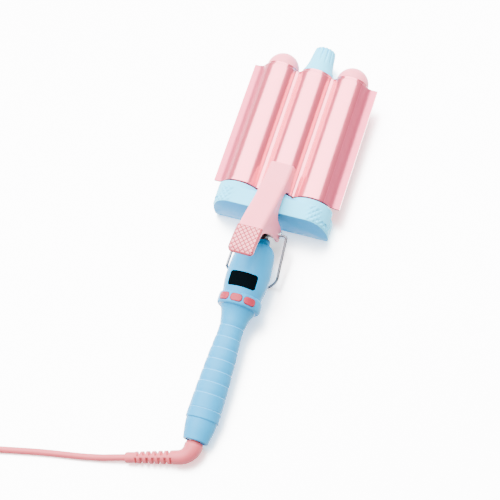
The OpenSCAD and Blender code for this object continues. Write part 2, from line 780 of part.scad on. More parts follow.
// Part of a button between two radii round the handle's axis.
module button_layer(w, l, r0, r1) {
    translate([0, 0, -l / 2]) intersection() {
        difference() {
            cylinder(h = l, r = r1);
            translate([0, 0, -1]) cylinder(h = l + 2, r = r0);
        }
        translate([-w / 2, 6, 0]) cube([w, 24, l]);
    }
}

// A cap that stands proud of the collar, with a narrower lip below that keeps it in.
module button(k) {
    lip_r = collar_in_r - 0.5;
    color(coral) on_handle() rotate([0, 0, button_angles[k]]) translate([0, 0, collar_mid_s]) {
        button_layer(button_widths[k], button_l, lip_r - 0.1, collar_r + button_rise);
        button_layer(button_widths[k] - 1.6, button_l + 1.8, lip_r - 0.5, lip_r);
    }
}
module button_minus() { button(0); }
module button_power() { button(1); }
module button_plus() { button(2); }

module handle_screws() {
    color("silver") on_handle() for (s = handle_screw_s) translate([0, 0, s]) rotate([90, 0, 0]) {
        translate([0, 0, -6]) cylinder(h = 15, r = 1.1);
        translate([0, 0, 7.5]) difference() {
            cylinder(h = 1.6, r = 2.3);
            for (a = [0, 90]) rotate([0, 0, a])
                translate([0, 0, 1.6]) cube([2.8, 0.6, 1.4], center = true);
        }
    }
}

// Leads from the board through the neck to the barrels.
module heater_leads() {
    color("#d8d8d0") on_handle() for (x = [-1.15, 1.15]) translate([x, 5.2, -3])
        cylinder(h = 44, r = 1, $fn = 24);
}

module mains_leads() {
    color("#4a3a30") on_handle() for (x = [-4.6, 4.6]) translate([x, -1.5, 76])
        cylinder(h = 132, r = 1.1, $fn = 24);
}

// Band and tapered tail; its end wall is the swivel's bearing.
module tail_cap() {
    color(blue) on_handle() difference() {
        rotate_extrude() polygon(concat([[0, band_s0], [band_r - 0.7, band_s0],
            [band_r, band_s0 + 0.7], [band_r, band_s1 - 0.7], [band_r - 0.7, band_s1]],
            as_profile(tail_profile), [[0, tail_s]]));
        translate([0, 0, band_s0 - 1]) cylinder(h = 24.5, r = 9.2);
        translate([0, 0, band_s0]) cylinder(h = 40, r = swivel_bore_r);
    }
}

module swivel_core() {
    color("#d98f97") on_handle() {
        translate([0, 0, 209]) cylinder(h = relief_s - 209, r = swivel_r);
        translate([0, 0, 212]) cylinder(h = 3, r = 7.6);
    }
}

// ---- cord ----

// Path of the strain relief in the handle's frame before it is turned to one side.
relief_l = relief_straight + relief_bend_r * relief_bend * PI / 180 + relief_arm;
function relief_local(l) =
    let(bend_l = relief_bend_r * relief_bend * PI / 180, a = (l - relief_straight)
        / relief_bend_r * 180 / PI, past = l - relief_straight - bend_l)
    l < relief_straight ? [0, 0, relief_s + l]
    : past < 0 ? [-relief_bend_r * (1 - cos(a)), 0,
        relief_s + relief_straight + relief_bend_r * sin(a)]
    : [-relief_bend_r * (1 - cos(relief_bend)) - past * sin(relief_bend), 0,
        relief_s + relief_straight + relief_bend_r * sin(relief_bend) + past * cos(relief_bend)];
function relief_world(l) = let(p = relief_local(l), x = p[0] * cos(relief_drop),
    y = p[0] * sin(relief_drop), s = p[2])
    [x, guard_y - y * sin(handle_pitch) - s * cos(handle_pitch),
        axis_z + y * cos(handle_pitch) - s * sin(handle_pitch)];
relief_end = relief_world(relief_l);
relief_dir = unit(relief_end - relief_world(relief_l - 5));
rib_l0 = 25;
rib_l1 = 62;
rib_l = (rib_l1 - rib_l0) / relief_ribs;
relief_body = [[0, 8.6], [0.5, 9], [3, 9], [7, 8.4], [12, 7.5], [17, 6.9], [22, 6.5]];
relief_rings = concat(relief_body,
    [for (k = [0:relief_ribs - 1]) let(l = rib_l0 + k * rib_l, r = 6.5 - 1.2 * k / relief_ribs)
        each [[l, r], [l + 0.3 * rib_l, r], [l + 0.45 * rib_l, r - 0.9], [l + 0.85 * rib_l, r - 0.9]]],
    [[rib_l1 + 0.3, 5], [relief_l - 0.6, 5], [relief_l, 4.5]]);

module strain_relief() {
    color(cord_pink) tube([for (q = relief_rings) relief_world(q[0])],
        [for (q = relief_rings) q[1]], 20);
}

lead_points = concat([relief_end, relief_end + 6.2 * relief_dir], smooth(lead_route, 2),
    [[coil_x + 2 * run_out, coil_top_y, cord_r], [coil_x + run_out, coil_top_y, cord_r]]);
tail_points = concat([[coil_x - run_out, coil_top_y, coil_z1],
    [coil_x - 2 * run_out, coil_top_y, coil_z1]], smooth(tail_route, 2),
    [[plug_x, plug_y + 14, plug_t / 2], [plug_x, plug_y + 6, plug_t / 2]]);

module cord_lead() {
    color(cord_pink) tube(lead_points, [for (p = lead_points) cord_r], 8);
}

module cord_coil() {
    color(cord_pink) tube(coil_path, [for (p = coil_path) cord_r], 6);
    echo(coil_least_gap = coil_least_gap, coil_length = sum_steps(coil_path));
}

module cord_tail() {
    color(cord_pink) tube(tail_points, [for (p = tail_points) cord_r], 8);
}

// Flat moulded plug with two round pins, lying on its broad side.
module plug_body() {
    color(cord_pink) translate([plug_x, plug_y, 0]) {
        intersection() {
            translate([0, 0, -1]) linear_extrude(plug_t + 2) polygon([[-plug_w / 2, -plug_l],
                [plug_w / 2, -plug_l], [plug_w / 2 + 0.5, -plug_l + 2], [plug_w / 2, -14],
                [11, -4], [6, 0], [-6, 0], [-11, -4], [-plug_w / 2, -14], [-plug_w / 2 - 0.5, -plug_l + 2]]);
            translate([0, 0, plug_t / 2]) rotate([90, 0, 0]) translate([0, 0, -1])
                rounded_block([plug_w + 1, plug_t, plug_l + 2], 5);
        }
        translate([0, 6, plug_t / 2]) rotate([90, 0, 0]) cylinder(h = 8, r1 = 4.2, r2 = 5.2);
    }
}

module plug_pins() {
    color("silver") for (x = [-1, 1])
        translate([plug_x + x * plug_pin_pitch / 2, plug_y - plug_l, plug_t / 2])
            rotate([90, 0, 0]) {
                cylinder(h = plug_pin_l - plug_pin_d / 2, r = plug_pin_d / 2, $fn = 48);
                translate([0, 0, plug_pin_l - plug_pin_d / 2]) sphere(r = plug_pin_d / 2, $fn = 48);
            }
}

handle_upper_shell();
handle_lower_shell();
button_collar();
display_lens();
display_module();
control_board();
button_switches();
tail_cap();
hinge_neck();
heat_guard_upper();
heat_guard_lower();
barrel_mounting_plate();
barrel_left();
barrel_middle();
barrel_right();
barrel_cap_left();
barrel_cap_right();
cool_tip();
heater_left();
heater_middle();
heater_right();
thermal_fuse();
temperature_probe();
heater_leads();
mains_leads();
guard_screws();
handle_screws();
hinge_pin();
torsion_spring();
clamp_plate();
clamp_lever();
thumb_pad();
lever_rivets();
stand_wire();
button_minus();
button_power();
button_plus();
swivel_core();
strain_relief();
cord_lead();
cord_coil();
cord_tail();
plug_body();
plug_pins();
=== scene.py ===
"""Finer pieces, finishes, floor, light and camera for a triple-barrel hair crimper."""

from __future__ import annotations

import logging
import math
from dataclasses import dataclass, field
from enum import Enum
from typing import Callable, Sequence

import bmesh
import bpy
import numpy as np
from mathutils import Matrix, Vector

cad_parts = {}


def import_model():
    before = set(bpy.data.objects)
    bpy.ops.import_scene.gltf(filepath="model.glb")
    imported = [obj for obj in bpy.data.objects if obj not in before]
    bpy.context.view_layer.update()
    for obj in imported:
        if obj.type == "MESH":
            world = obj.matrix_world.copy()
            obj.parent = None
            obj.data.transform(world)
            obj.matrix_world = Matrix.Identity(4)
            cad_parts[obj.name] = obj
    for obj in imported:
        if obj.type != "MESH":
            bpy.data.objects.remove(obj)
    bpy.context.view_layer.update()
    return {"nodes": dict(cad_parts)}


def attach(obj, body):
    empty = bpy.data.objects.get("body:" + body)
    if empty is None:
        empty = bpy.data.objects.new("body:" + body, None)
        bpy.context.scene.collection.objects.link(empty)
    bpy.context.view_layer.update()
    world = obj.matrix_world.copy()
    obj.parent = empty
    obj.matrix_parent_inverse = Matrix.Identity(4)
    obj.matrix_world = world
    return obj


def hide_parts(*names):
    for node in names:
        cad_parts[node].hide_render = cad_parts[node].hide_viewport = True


log = logging.getLogger("crimper")

Flat = tuple[float, float]
Point = tuple[float, float, float]
Place = Callable[[float, float, float], Point]

MM = 0.001
SMOOTH_ANGLE = 34.0

# Places shared by several sub-assemblies, in millimetres.
GUARD_Y = 35.0
AXIS_Z = 29.602
HANDLE_TILT = math.radians(94.0)
BARREL_R = 16.0
BARREL_PITCH = 35.4
BARREL_Z = 21.0
CAP_Y = 192.0
SOCKET_R = 14.4
HINGE_Y = 20.0
HINGE_Z = 26.5
COLLAR_S0 = 82.5
COLLAR_S1 = 94.7
BAND_S0 = 192.5
BAND_S1 = 202.7


# ---- curves and surfaces -------------------------------------------------------------


def ramp(value: float, start: float, end: float) -> float:
    """Share of the way from start to end, held between 0 and 1."""
    return min(max((value - start) / (end - start), 0.0), 1.0)


def read_off(line: Sequence[Flat], at: float | Sequence[float]) -> float | np.ndarray:
    """Height of a line of (place, height) points at one place or several."""
    return np.interp(at, *zip(*line))


def mirrored(half: list[tuple[float, ...]]) -> list[tuple[float, ...]]:
    """Closes a half outline, from middle to middle, with its mirror image in x."""
    return half + [(-p[0], *p[1:]) for p in reversed(half[1:-1])]


def smooth(points: Sequence[Sequence[float]], steps: int) -> list[tuple[float, ...]]:
    """Runs a smooth curve through every point.

    Args:
        points: The points to pass through, flat or in space.
        steps: Steps between neighbouring points.

    Returns:
        The curve's points, with the given ones among them.
    """
    known = np.array(points, float)
    last = len(known) - 1
    curve = []
    for i in range(last):
        a, b, c, d = (known[min(max(k, 0), last)] for k in (i - 1, i, i + 1, i + 2))
        for t in np.arange(steps) / steps:
            bend = (2 * a - 5 * b + 4 * c - d) * t**2 + (3 * b - a - 3 * c + d) * t**3
            curve.append(tuple(0.5 * (2 * b + (c - a) * t + bend)))
    return [*curve, tuple(known[-1])]


def arc(centre: Flat, radius: float, start: float, end: float, steps: int) -> list[Flat]:
    """Points of a circular arc.

    Args:
        centre: The circle's centre.
        radius: The circle's radius.
        start: First angle in degrees.
        end: Last angle in degrees.
        steps: Number of steps.

    Returns:
        The arc's points, both ends included.
    """
    return [
        (centre[0] + radius * math.cos(a), centre[1] + radius * math.sin(a))
        for a in np.radians(np.linspace(start, end, steps + 1))
    ]


def rounded_box_line(width: float, height: float, radius: float, straight: int = 8) -> list[Flat]:
    """Outline of a rectangle with round corners, with points along its straight runs too.

    Args:
        width: Full width.
        height: Full height.
        radius: Corner radius.
        straight: Steps along each straight run.

    Returns:
        The closed outline's points, counter-clockwise.
    """
    r = max(min(radius, width / 2 - 0.01, height / 2 - 0.01), 0.01)
    corners = [(1, 1, 0), (-1, 1, 90), (-1, -1, 180), (1, -1, 270)]
    line: list[Flat] = []
    for sx, sy, start in corners + corners[:1]:
        bend = arc((sx * (width / 2 - r), sy * (height / 2 - r)), r, start, start + 90, 6)
        if line:
            line += [tuple(p) for p in np.linspace(line[-1], bend[0], straight + 1)[1:-1]]
        line += bend
    return line[: -len(bend)]


def cut_straight(outline: list[Flat], nx: float, ny: float, reach: float) -> list[Flat]:
    """Keeps the part of a convex outline that lies within a line's reach.

    Args:
        outline: The outline's points.
        nx: X of the line's normal.
        ny: Y of the line's normal.
        reach: Distance of the line from the origin along its normal.

    Returns:
        The points that are left, with those on the line.
    """
    kept: list[Flat] = []
    for p, q in zip(outline, outline[1:] + outline[:1]):
        dp, dq = (nx * c[0] + ny * c[1] - reach for c in (p, q))
        if dp <= 0:
            kept.append(p)
        if dp * dq < 0:
            t = dp / (dp - dq)
            kept.append((p[0] + (q[0] - p[0]) * t, p[1] + (q[1] - p[1]) * t))
    return kept


def on_handle(x: float, y: float, s: float) -> Point:
    """A point beside the handle's axis, s along it from the guard, y up, in millimetres."""
    c, d = math.cos(HANDLE_TILT), math.sin(HANDLE_TILT)
    return (x, GUARD_Y + y * c - s * d, AXIS_Z + y * d + s * c)


def along_handle(point: Sequence[float]) -> float:
    """Distance of a point in metres along the handle's axis, in millimetres."""
    up, back = point[2] / MM - AXIS_Z, GUARD_Y - point[1] / MM
    return up * math.cos(HANDLE_TILT) + back * math.sin(HANDLE_TILT)


def on_barrel(x: float, y: float, s: float) -> Point:
    """A point beside the middle barrel's axis, s along +Y, in millimetres."""
    return (x, s, BARREL_Z + y)


@dataclass
class Draft:
    """A mesh in the making, in millimetres; what adds a shape to it returns the draft."""

    points: list[Point] = field(default_factory=list)
    faces: list[tuple[int, ...]] = field(default_factory=list)
    zones: list[int] = field(default_factory=list)

    def grid(self, rows: Sequence[Sequence[Point]], ring: bool = False, zone: int = 0) -> Draft:
        """Adds a skin over closed rows of points.

        Args:
            rows: Rows with equally many points.
            ring: Whether the last row joins the first; if not, both ends are capped.
            zone: Number of the finish on these faces.

        Returns:
            The draft.
        """
        base, n, m = len(self.points), len(rows), len(rows[0])
        for row in rows:
            self.points.extend(row)
        added: list[tuple[int, ...]] = []
        for i in range(n if ring else n - 1):
            here, there = base + i * m, base + (i + 1) % n * m
            for j in range(m):
                k = (j + 1) % m
                added.append((here + j, here + k, there + k, there + j))
        if not ring:
            added.append(tuple(base + j for j in reversed(range(m))))
            added.append(tuple(base + (n - 1) * m + j for j in range(m)))
        self.faces += added
        self.zones += [zone] * len(added)
        return self

    def lathe(
        self,
        profile: Sequence[Flat],
        place: Place,
        angles: Sequence[float],
        ring: bool = False,
        dent: Callable[[float, float], float] = lambda s, angle: 0.0,
    ) -> Draft:
        """Adds a turned shape.

        Args:
            profile: Points of distance along the axis and radius.
            place: Turns (x, y, s) beside the axis into a point in space.
            angles: Angles round the axis in degrees, from the top.
            ring: Whether the profile is a closed loop, as of a ring.
            dent: How far the skin lies below the profile at (s, angle).

        Returns:
            The draft.
        """
        rows = []
        for s, r in profile:
            turned = [(r - dent(s, angle), math.radians(angle)) for angle in angles]
            rows.append([place(d * math.sin(a), d * math.cos(a), s) for d, a in turned])
        return self.grid(rows, ring)

    def sweep(
        self,
        path: Sequence[Sequence[float]],
        radius: Callable[[int, float], float],
        sides: int,
        first: Sequence[float] = (0, 0, 1),
    ) -> Draft:
        """Adds a tube along a path, without twist.

        Args:
            path: Points of the middle line.
            radius: The radius at (index of the point, angle in degrees from first).
            sides: Points round the tube.
            first: Direction of angle 0 at the start.

        Returns:
            The draft.
        """
        line = np.array(path, float)
        ahead = np.vstack([line[1:], line[-1:]]) - np.vstack([line[:1], line[:-1]])
        ahead /= np.linalg.norm(ahead, axis=1)[:, None]
        up = np.array(first, float)
        rows = []
        for i, (p, t) in enumerate(zip(line, ahead)):
            up = up - up.dot(t) * t
            up /= np.linalg.norm(up)
            side = np.cross(t, up)
            row = []
            for angle in (360 * k / sides for k in range(sides)):
                a = math.radians(angle)
                row.append(tuple(p + radius(i, angle) * (math.cos(a) * up + math.sin(a) * side)))
            rows.append(row)
        return self.grid(rows)

    def patch(
        self,
        outline: Callable[[float], Sequence[Flat]],
        rings: Sequence[Flat],
        place: Place,
        zone: int = 0,
    ) -> Draft:
        """Adds a raised pad on a surface.

        Args:
            outline: The pad's outline drawn in by a distance.
            rings: Steps of (distance drawn in, height), from the hidden foot to the middle.
            place: Turns (u, v, height) on the surface into a point in space.
            zone: Number of the finish on these faces.

        Returns:
            The draft.
        """
        rows = [[place(u, v, height) for u, v in outline(inset)] for inset, height in rings]
        return self.grid(rows, zone=zone)

    def build(self, name: str, *finishes: Finish, angle: float = SMOOTH_ANGLE) -> bpy.types.Object:
        """Makes the object, in metres.

        Args:
            name: The piece's name.
            finishes: One finish for each zone.
            angle: Edges sharper than this many degrees stay sharp.

        Returns:
            The new object, shaded smooth.
        """
        mesh = bpy.data.meshes.new(name)
        mesh.from_pydata([tuple(c * MM for c in p) for p in self.points], [], self.faces)
        for finish in finishes:
            mesh.materials.append(finish.material())
        mesh.polygons.foreach_set("material_index", self.zones)
        form = bmesh.new()
        form.from_mesh(mesh)
        bmesh.ops.recalc_face_normals(form, faces=form.faces)
        form.to_mesh(mesh)
        form.free()
        soften(mesh, angle)
        piece = bpy.data.objects.new(name, mesh)
        bpy.context.scene.collection.objects.link(piece)
        return piece


def soften(mesh: bpy.types.Mesh, angle: float = SMOOTH_ANGLE) -> None:
    """Shades a mesh smooth, apart from edges sharper than angle degrees."""
    mesh.shade_smooth()
    mesh.set_sharp_from_angle(angle=math.radians(angle))


def carve(piece: bpy.types.Object, tool: bpy.types.Object) -> None:
    """Cuts the tool's shape out of a piece and deletes the tool.

    Args:
        piece: The piece that is cut.
        tool: A closed shape.
    """
    cut = piece.modifiers.new("carve", "BOOLEAN")
    cut.operation = "DIFFERENCE"
    cut.solver = "EXACT"
    cut.object = tool
    graph = bpy.context.evaluated_depsgraph_get()
    mesh = bpy.data.meshes.new_from_object(piece.evaluated_get(graph))
    piece.modifiers.clear()
    piece.data = mesh
    bpy.data.objects.remove(tool)
    soften(mesh)


def paint(piece: bpy.types.Object, choose: Callable[[bpy.types.MeshPolygon], int]) -> None:
    """Gives each face the finish whose number is chosen for it."""
    for face in piece.data.polygons:
        face.material_index = choose(face)


# ---- finishes ------------------------------------------------------------------------

# Pitches of the patterns that every finish has, in millimetres: the slow drift of its tint, the
# mottling in it, and the patches where it is worn.
TINT_PITCH = 30.0
MOTTLE_PITCH = 1.6
WEAR_PITCH = 14.0


def linear(colour: str) -> tuple[float, float, float, float]:
    """Turns an sRGB hex colour into linear red, green, blue and alpha."""
    parts = [int(colour[i : i + 2], 16) / 255 for i in (1, 3, 5)]
    return (*(c / 12.92 if c <= 0.04045 else ((c + 0.055) / 1.055) ** 2.4 for c in parts), 1.0)


def add_node(
    tree: bpy.types.NodeTree,
    kind: str,
    values: dict[str | int, object] | None = None,
    links: dict[str | int, bpy.types.NodeSocket] | None = None,
    **settings: object,
) -> bpy.types.Node:
    """Adds one node with its settings and links.

    Args:
        tree: The tree that gets the node.
        kind: The node's type name, without its prefix.
        values: Socket values, by name or number.
        links: Outputs of other nodes, by the name or number of the socket they go to.
        settings: Properties of the node itself.

    Returns:
        The new node.
    """
    node = tree.nodes.new("ShaderNode" + kind)
    for name, value in settings.items():
        setattr(node, name, value)
    for socket, value in (values or {}).items():
        node.inputs[socket].default_value = value
    for socket, source in (links or {}).items():
        tree.links.new(source, node.inputs[socket])
    return node


class Surface(Enum):
    """How a surface was made, which sets its fine relief."""

    SPARK_ERODED = "fine even grain from a spark-eroded mould"
    SPRAYED = "slow orange-peel waves of a sprayed or dipped coat"
    DRAWN = "lines along the length, left by the drawing die"
    PLATED = "polished and plated, with faint hairlines"
    LAMINATED = "weave of the glass cloth under the resin"


@dataclass(frozen=True)
class Finish:
    """A real material with the marks of how its surface was made.

    The relief is its height and its pitch, in millimetres.
    """

    name: str
    colour: str
    tint: str
    surface: Surface
    roughness: float
    relief: Flat
    rough_swing: float = 0.06
    ior: float = 1.5
    metallic: float = 0.0
    coat: float = 0.0
    coat_roughness: float = 0.08
    coat_ior: float = 1.5
    specular: float = 0.5
    subsurface: float = 0.0

    def material(self) -> bpy.types.Material:
        """Returns the finish's material, made on first use."""
        return bpy.data.materials.get(self.name) or self._make()

    def _make(self) -> bpy.types.Material:
        """Builds the node tree.

        Returns:
            The new material.
        """
        material = bpy.data.materials.new(self.name)
        material.use_nodes = True
        tree = material.node_tree
        tree.nodes.clear()
        place = add_node(tree, "TexCoord").outputs["Object"]
        values = {
            "Metallic": self.metallic,
            "IOR": self.ior,
            "Specular IOR Level": self.specular,
            "Coat Weight": self.coat,
            "Coat Roughness": self.coat_roughness,
            "Coat IOR": self.coat_ior,
            "Subsurface Weight": self.subsurface,
            "Subsurface Scale": 0.002,
        }
        links = {
            "Base Color": self._tone(tree, place),
            "Roughness": self._wear(tree, place),
            "Normal": self._relief(tree, place),
        }
        shader = add_node(tree, "BsdfPrincipled", values, links)
        add_node(tree, "OutputMaterial", links={"Surface": shader.outputs["BSDF"]})
        material.diffuse_color = linear(self.colour)
        return material

    def _tone(self, tree: bpy.types.NodeTree, place: bpy.types.NodeSocket) -> bpy.types.NodeSocket:
        """Slow drift between the two tones, with a trace of finer mottling.

        Args:
            tree: The material's tree.
            place: Coordinates on the object.

        Returns:
            The colour output.
        """
        slow = {"Scale": 1 / (TINT_PITCH * MM), "Detail": 3.0, "Roughness": 0.55}
        wide = add_node(tree, "TexNoise", slow, {"Vector": place})
        quick = {"Scale": 1 / (MOTTLE_PITCH * MM), "Detail": 2.0}
        fine = add_node(tree, "TexNoise", quick, {"Vector": place})
        parts = {0: fine.outputs["Fac"], 2: wide.outputs["Fac"]}
        both = add_node(tree, "Math", {1: 0.25}, parts, operation="MULTIPLY_ADD")
        spread = {"From Min": 0.45, "From Max": 0.85, "To Min": 0.0, "To Max": 0.5}
        share = add_node(tree, "MapRange", spread, {"Value": both.outputs[0]})
        tones = {6: linear(self.colour), 7: linear(self.tint)}
        return add_node(tree, "Mix", tones, {0: share.outputs[0]}, data_type="RGBA").outputs[2]

    def _wear(self, tree: bpy.types.NodeTree, place: bpy.types.NodeSocket) -> bpy.types.NodeSocket:
        """Patches where handling has polished or dulled the surface.

        Args:
            tree: The material's tree.
            place: Coordinates on the object.

        Returns:
            The roughness output.
        """
        patchy = {"Scale": 1 / (WEAR_PITCH * MM), "Detail": 5.0, "Roughness": 0.6}
        blots = add_node(tree, "TexNoise", patchy, {"Vector": place})
        low, high = max(self.roughness - self.rough_swing, 0.02), self.roughness + self.rough_swing
        spread = {"From Min": 0.3, "From Max": 0.7, "To Min": low, "To Max": high}
        return add_node(tree, "MapRange", spread, {"Value": blots.outputs["Fac"]}).outputs[0]

    def _relief(self, tree: bpy.types.NodeTree, place: bpy.types.NodeSocket) -> bpy.types.NodeSocket:
        """The fine relief that the making left.

        Args:
            tree: The material's tree.
            place: Coordinates on the object.

        Returns:
            The normal output.
        """
        height, pitch = self.relief
        scale = 1 / (pitch * MM)
        stretch = {Surface.DRAWN: 0.02, Surface.PLATED: 0.08}.get(self.surface, 1.0)
        scaled = add_node(tree, "Mapping", {"Scale": (1.0, stretch, 1.0)}, {"Vector": place})
        if self.surface is Surface.LAMINATED:
            kind, values = "TexWave", {"Scale": scale / 6, "Distortion": 0.4}
        else:
            detail = 4.0 if self.surface is Surface.SPARK_ERODED else 1.5
            kind, values = "TexNoise", {"Scale": scale, "Detail": detail, "Roughness": 0.6}
        pattern = add_node(tree, kind, values, {"Vector": scaled.outputs[0]}).outputs["Fac"]
        bump = {"Strength": 1.0, "Distance": height * MM}
        return add_node(tree, "Bump", bump, {"Height": pattern}).outputs[0]


# A titania-rich ceramic coat on drawn aluminium: pearly pink, with crisp bright reflections.
COATED_ALUMINIUM = Finish(
    "ceramic coated aluminium", "#E9627A", "#ED6C84", Surface.SPRAYED, 0.24, (0.003, 2.5),
    metallic=0.6, coat=0.9, coat_roughness=0.1, coat_ior=1.8, rough_swing=0.03,
)
# The same coat where the sheet flares, in a deeper, less bright pink as painted shade on the flanks.
SHADED_FLARE_COAT = Finish(
    "ceramic coat painted shade", "#CF5470", "#D45E79", Surface.SPRAYED, 0.36, (0.003, 2.5),
    metallic=0.5, coat=0.15, coat_roughness=0.2, rough_swing=0.03,
)
# The sheet's cut ends: a thin dark maroon line, as painted shadow of the gap beside them.
PAINTED_GAP_SHADOW = Finish(
    "plate end painted shadow", "#5E2434", "#6A2C3C", Surface.DRAWN, 0.5, (0.004, 0.4)
)
# ABS from a lightly grained mould: an even, satin baby blue.
BLUE_ABS = Finish(
    "moulded blue abs", "#0090C6", "#0A96CA", Surface.SPARK_ERODED, 0.42, (0.012, 0.5),
    specular=0.16,
)
# The same plastic on the front edges of the grip's rings and of the band: lighter as painted
# highlight, and glossier.
HIGHLIT_ABS = Finish(
    "blue abs painted highlight", "#3CAADE", "#48B0E2", Surface.SPARK_ERODED, 0.3, (0.004, 0.5),
    specular=0.3,
)
# Glass-filled polyester that stands heat: paler than the handle and a little chalky.
PALE_PBT = Finish(
    "moulded pale blue pbt", "#56D4FA", "#62D8FB", Surface.SPARK_ERODED, 0.42, (0.014, 0.6),
    specular=0.12,
)
# The guard's flat back, which faces away from the key light: the same pbt in a deeper blue, as
# painted shade.
SHADED_BACK_PBT = Finish(
    "pale blue pbt painted shade", "#26A4E2", "#30AAE5", Surface.SPARK_ERODED, 0.4, (0.006, 0.6),
    specular=0.04,
)
# Glass-filled nylon, satin pink: soft broad highlights.
PINK_NYLON = Finish(
    "moulded pink nylon", "#FF879B", "#FF91A3", Surface.SPARK_ERODED, 0.38, (0.01, 0.55),
    specular=0.16, subsurface=0.05,
)
# Silicone rubber, coral, dull and faintly see-through.
CORAL_SILICONE = Finish(
    "moulded coral silicone", "#A01E38", "#A82840", Surface.SPARK_ERODED, 0.46, (0.012, 0.5),
    specular=0.3, subsurface=0.1,
)
# The pad's raised lozenges in a lighter rose than the coral bed, as painted highlight on their tops.
LIT_LOZENGE_SILICONE = Finish(
    "lozenge silicone painted highlight", "#EE8A94", "#F0949C", Surface.SPARK_ERODED, 0.44, (0.012, 0.5),
    specular=0.35, subsurface=0.1,
)
# Acrylic with an etched anti-glare face over a dark liquid-crystal cell: an even deep black.
SMOKED_ACRYLIC = Finish(
    "etched smoked acrylic", "#03070A", "#050B0F", Surface.SPARK_ERODED, 0.42, (0.003, 0.4),
    specular=0.0, rough_swing=0.04,
)
# Carbon-black nylon, dull and grained.
DARK_NYLON = Finish(
    "moulded dark nylon", "#26262A", "#303036", Surface.SPARK_ERODED, 0.55, (0.02, 0.6)
)
# Glass cloth and epoxy under green solder mask: a faint weave under a soft gloss.
GREEN_LAMINATE = Finish(
    "laminated green board", "#2E6E43", "#27603A", Surface.LAMINATED, 0.35, (0.01, 0.8)
)
# Extruded aluminium as it leaves the die: dull silver with lines along it.
EXTRUDED_ALUMINIUM = Finish(
    "extruded aluminium", "#C9CBD0", "#BDBFC6", Surface.DRAWN, 0.38, (0.01, 0.4), metallic=1.0
)
# Zinc-plated steel: cool grey with a faint cloudiness.
ZINC_STEEL = Finish(
    "zinc plated steel", "#B9BCC2", "#A5A9B2", Surface.PLATED, 0.3, (0.004, 0.5), metallic=1.0
)
# Nickelled steel wire: grey with a soft bright line along it and dark sides.
NICKELLED_WIRE = Finish(
    "nickelled steel wire", "#7C7D83", "#74757B", Surface.PLATED, 0.34, (0.0001, 4.0),
    metallic=1.0, rough_swing=0.02,
)
# Oil-tempered spring steel: brown-black with an oily gloss.
SPRING_STEEL = Finish(
    "oil tempered spring steel", "#4A3A38", "#5C4A48", Surface.DRAWN, 0.32, (0.006, 0.3),
    metallic=1.0,
)
# Extruded soft vinyl: a muted rose, with faint waves along it.
ROSE_VINYL = Finish(
    "extruded rose vinyl", "#CC5A64", "#C8525D", Surface.SPRAYED, 0.42, (0.01, 3.0),
    specular=0.3, subsurface=0.05,
)

# What the solids that no finer piece stands for are made of.
CAD_FINISHES: dict[Finish, tuple[str, ...]] = {
    COATED_ALUMINIUM: ("barrel_left", "barrel_middle", "barrel_right"),
    EXTRUDED_ALUMINIUM: ("heater_left", "heater_middle", "heater_right"),
    ZINC_STEEL: (
        "barrel_mounting_plate", "thermal_fuse", "guard_screws", "handle_screws", "hinge_pin",
        "lever_rivets", "plug_pins",
    ),
    DARK_NYLON: (
        # The hinge neck takes this dark nylon as painted shade under the lever; the other parts here
        # are dark.
        "temperature_probe", "heater_leads", "mains_leads", "hinge_neck", "display_module",
        "button_switches",
    ),
    GREEN_LAMINATE: ("control_board",),
    ROSE_VINYL: ("swivel_core",),
}


# ---- sub-assemblies ------------------------------------------------------------------


def mount(piece: bpy.types.Object, body: str, slot: str, *nodes: str) -> bpy.types.Object:
    """Puts a finished piece on its body.

    Args:
        piece: The piece, in place.
        body: The body that it rides on.
        slot: The material slot named for the piece; not used.
        nodes: The CAD nodes that it stands for.

    Returns:
        The piece.
    """
    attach(piece, body)
    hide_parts(*nodes)
    log.info("%s rides on %s, %d faces", piece.name, body, len(piece.data.polygons))
    return piece


def even_angles(steps: int, seam: float = 0.0) -> list[float]:
    """Angles round an axis from the top, with close lines at both seams.

    Args:
        steps: Even steps round the full turn.
        seam: Half the angle that a seam takes, or 0 for none.

    Returns:
        The angles in degrees, in order.
    """
    angles = {round(360 * k / steps, 4) for k in range(steps)}
    if seam:
        angles |= {side + seam * k / 2 for side in (90, 270) for k in range(-2, 3)}
    return sorted(angles)


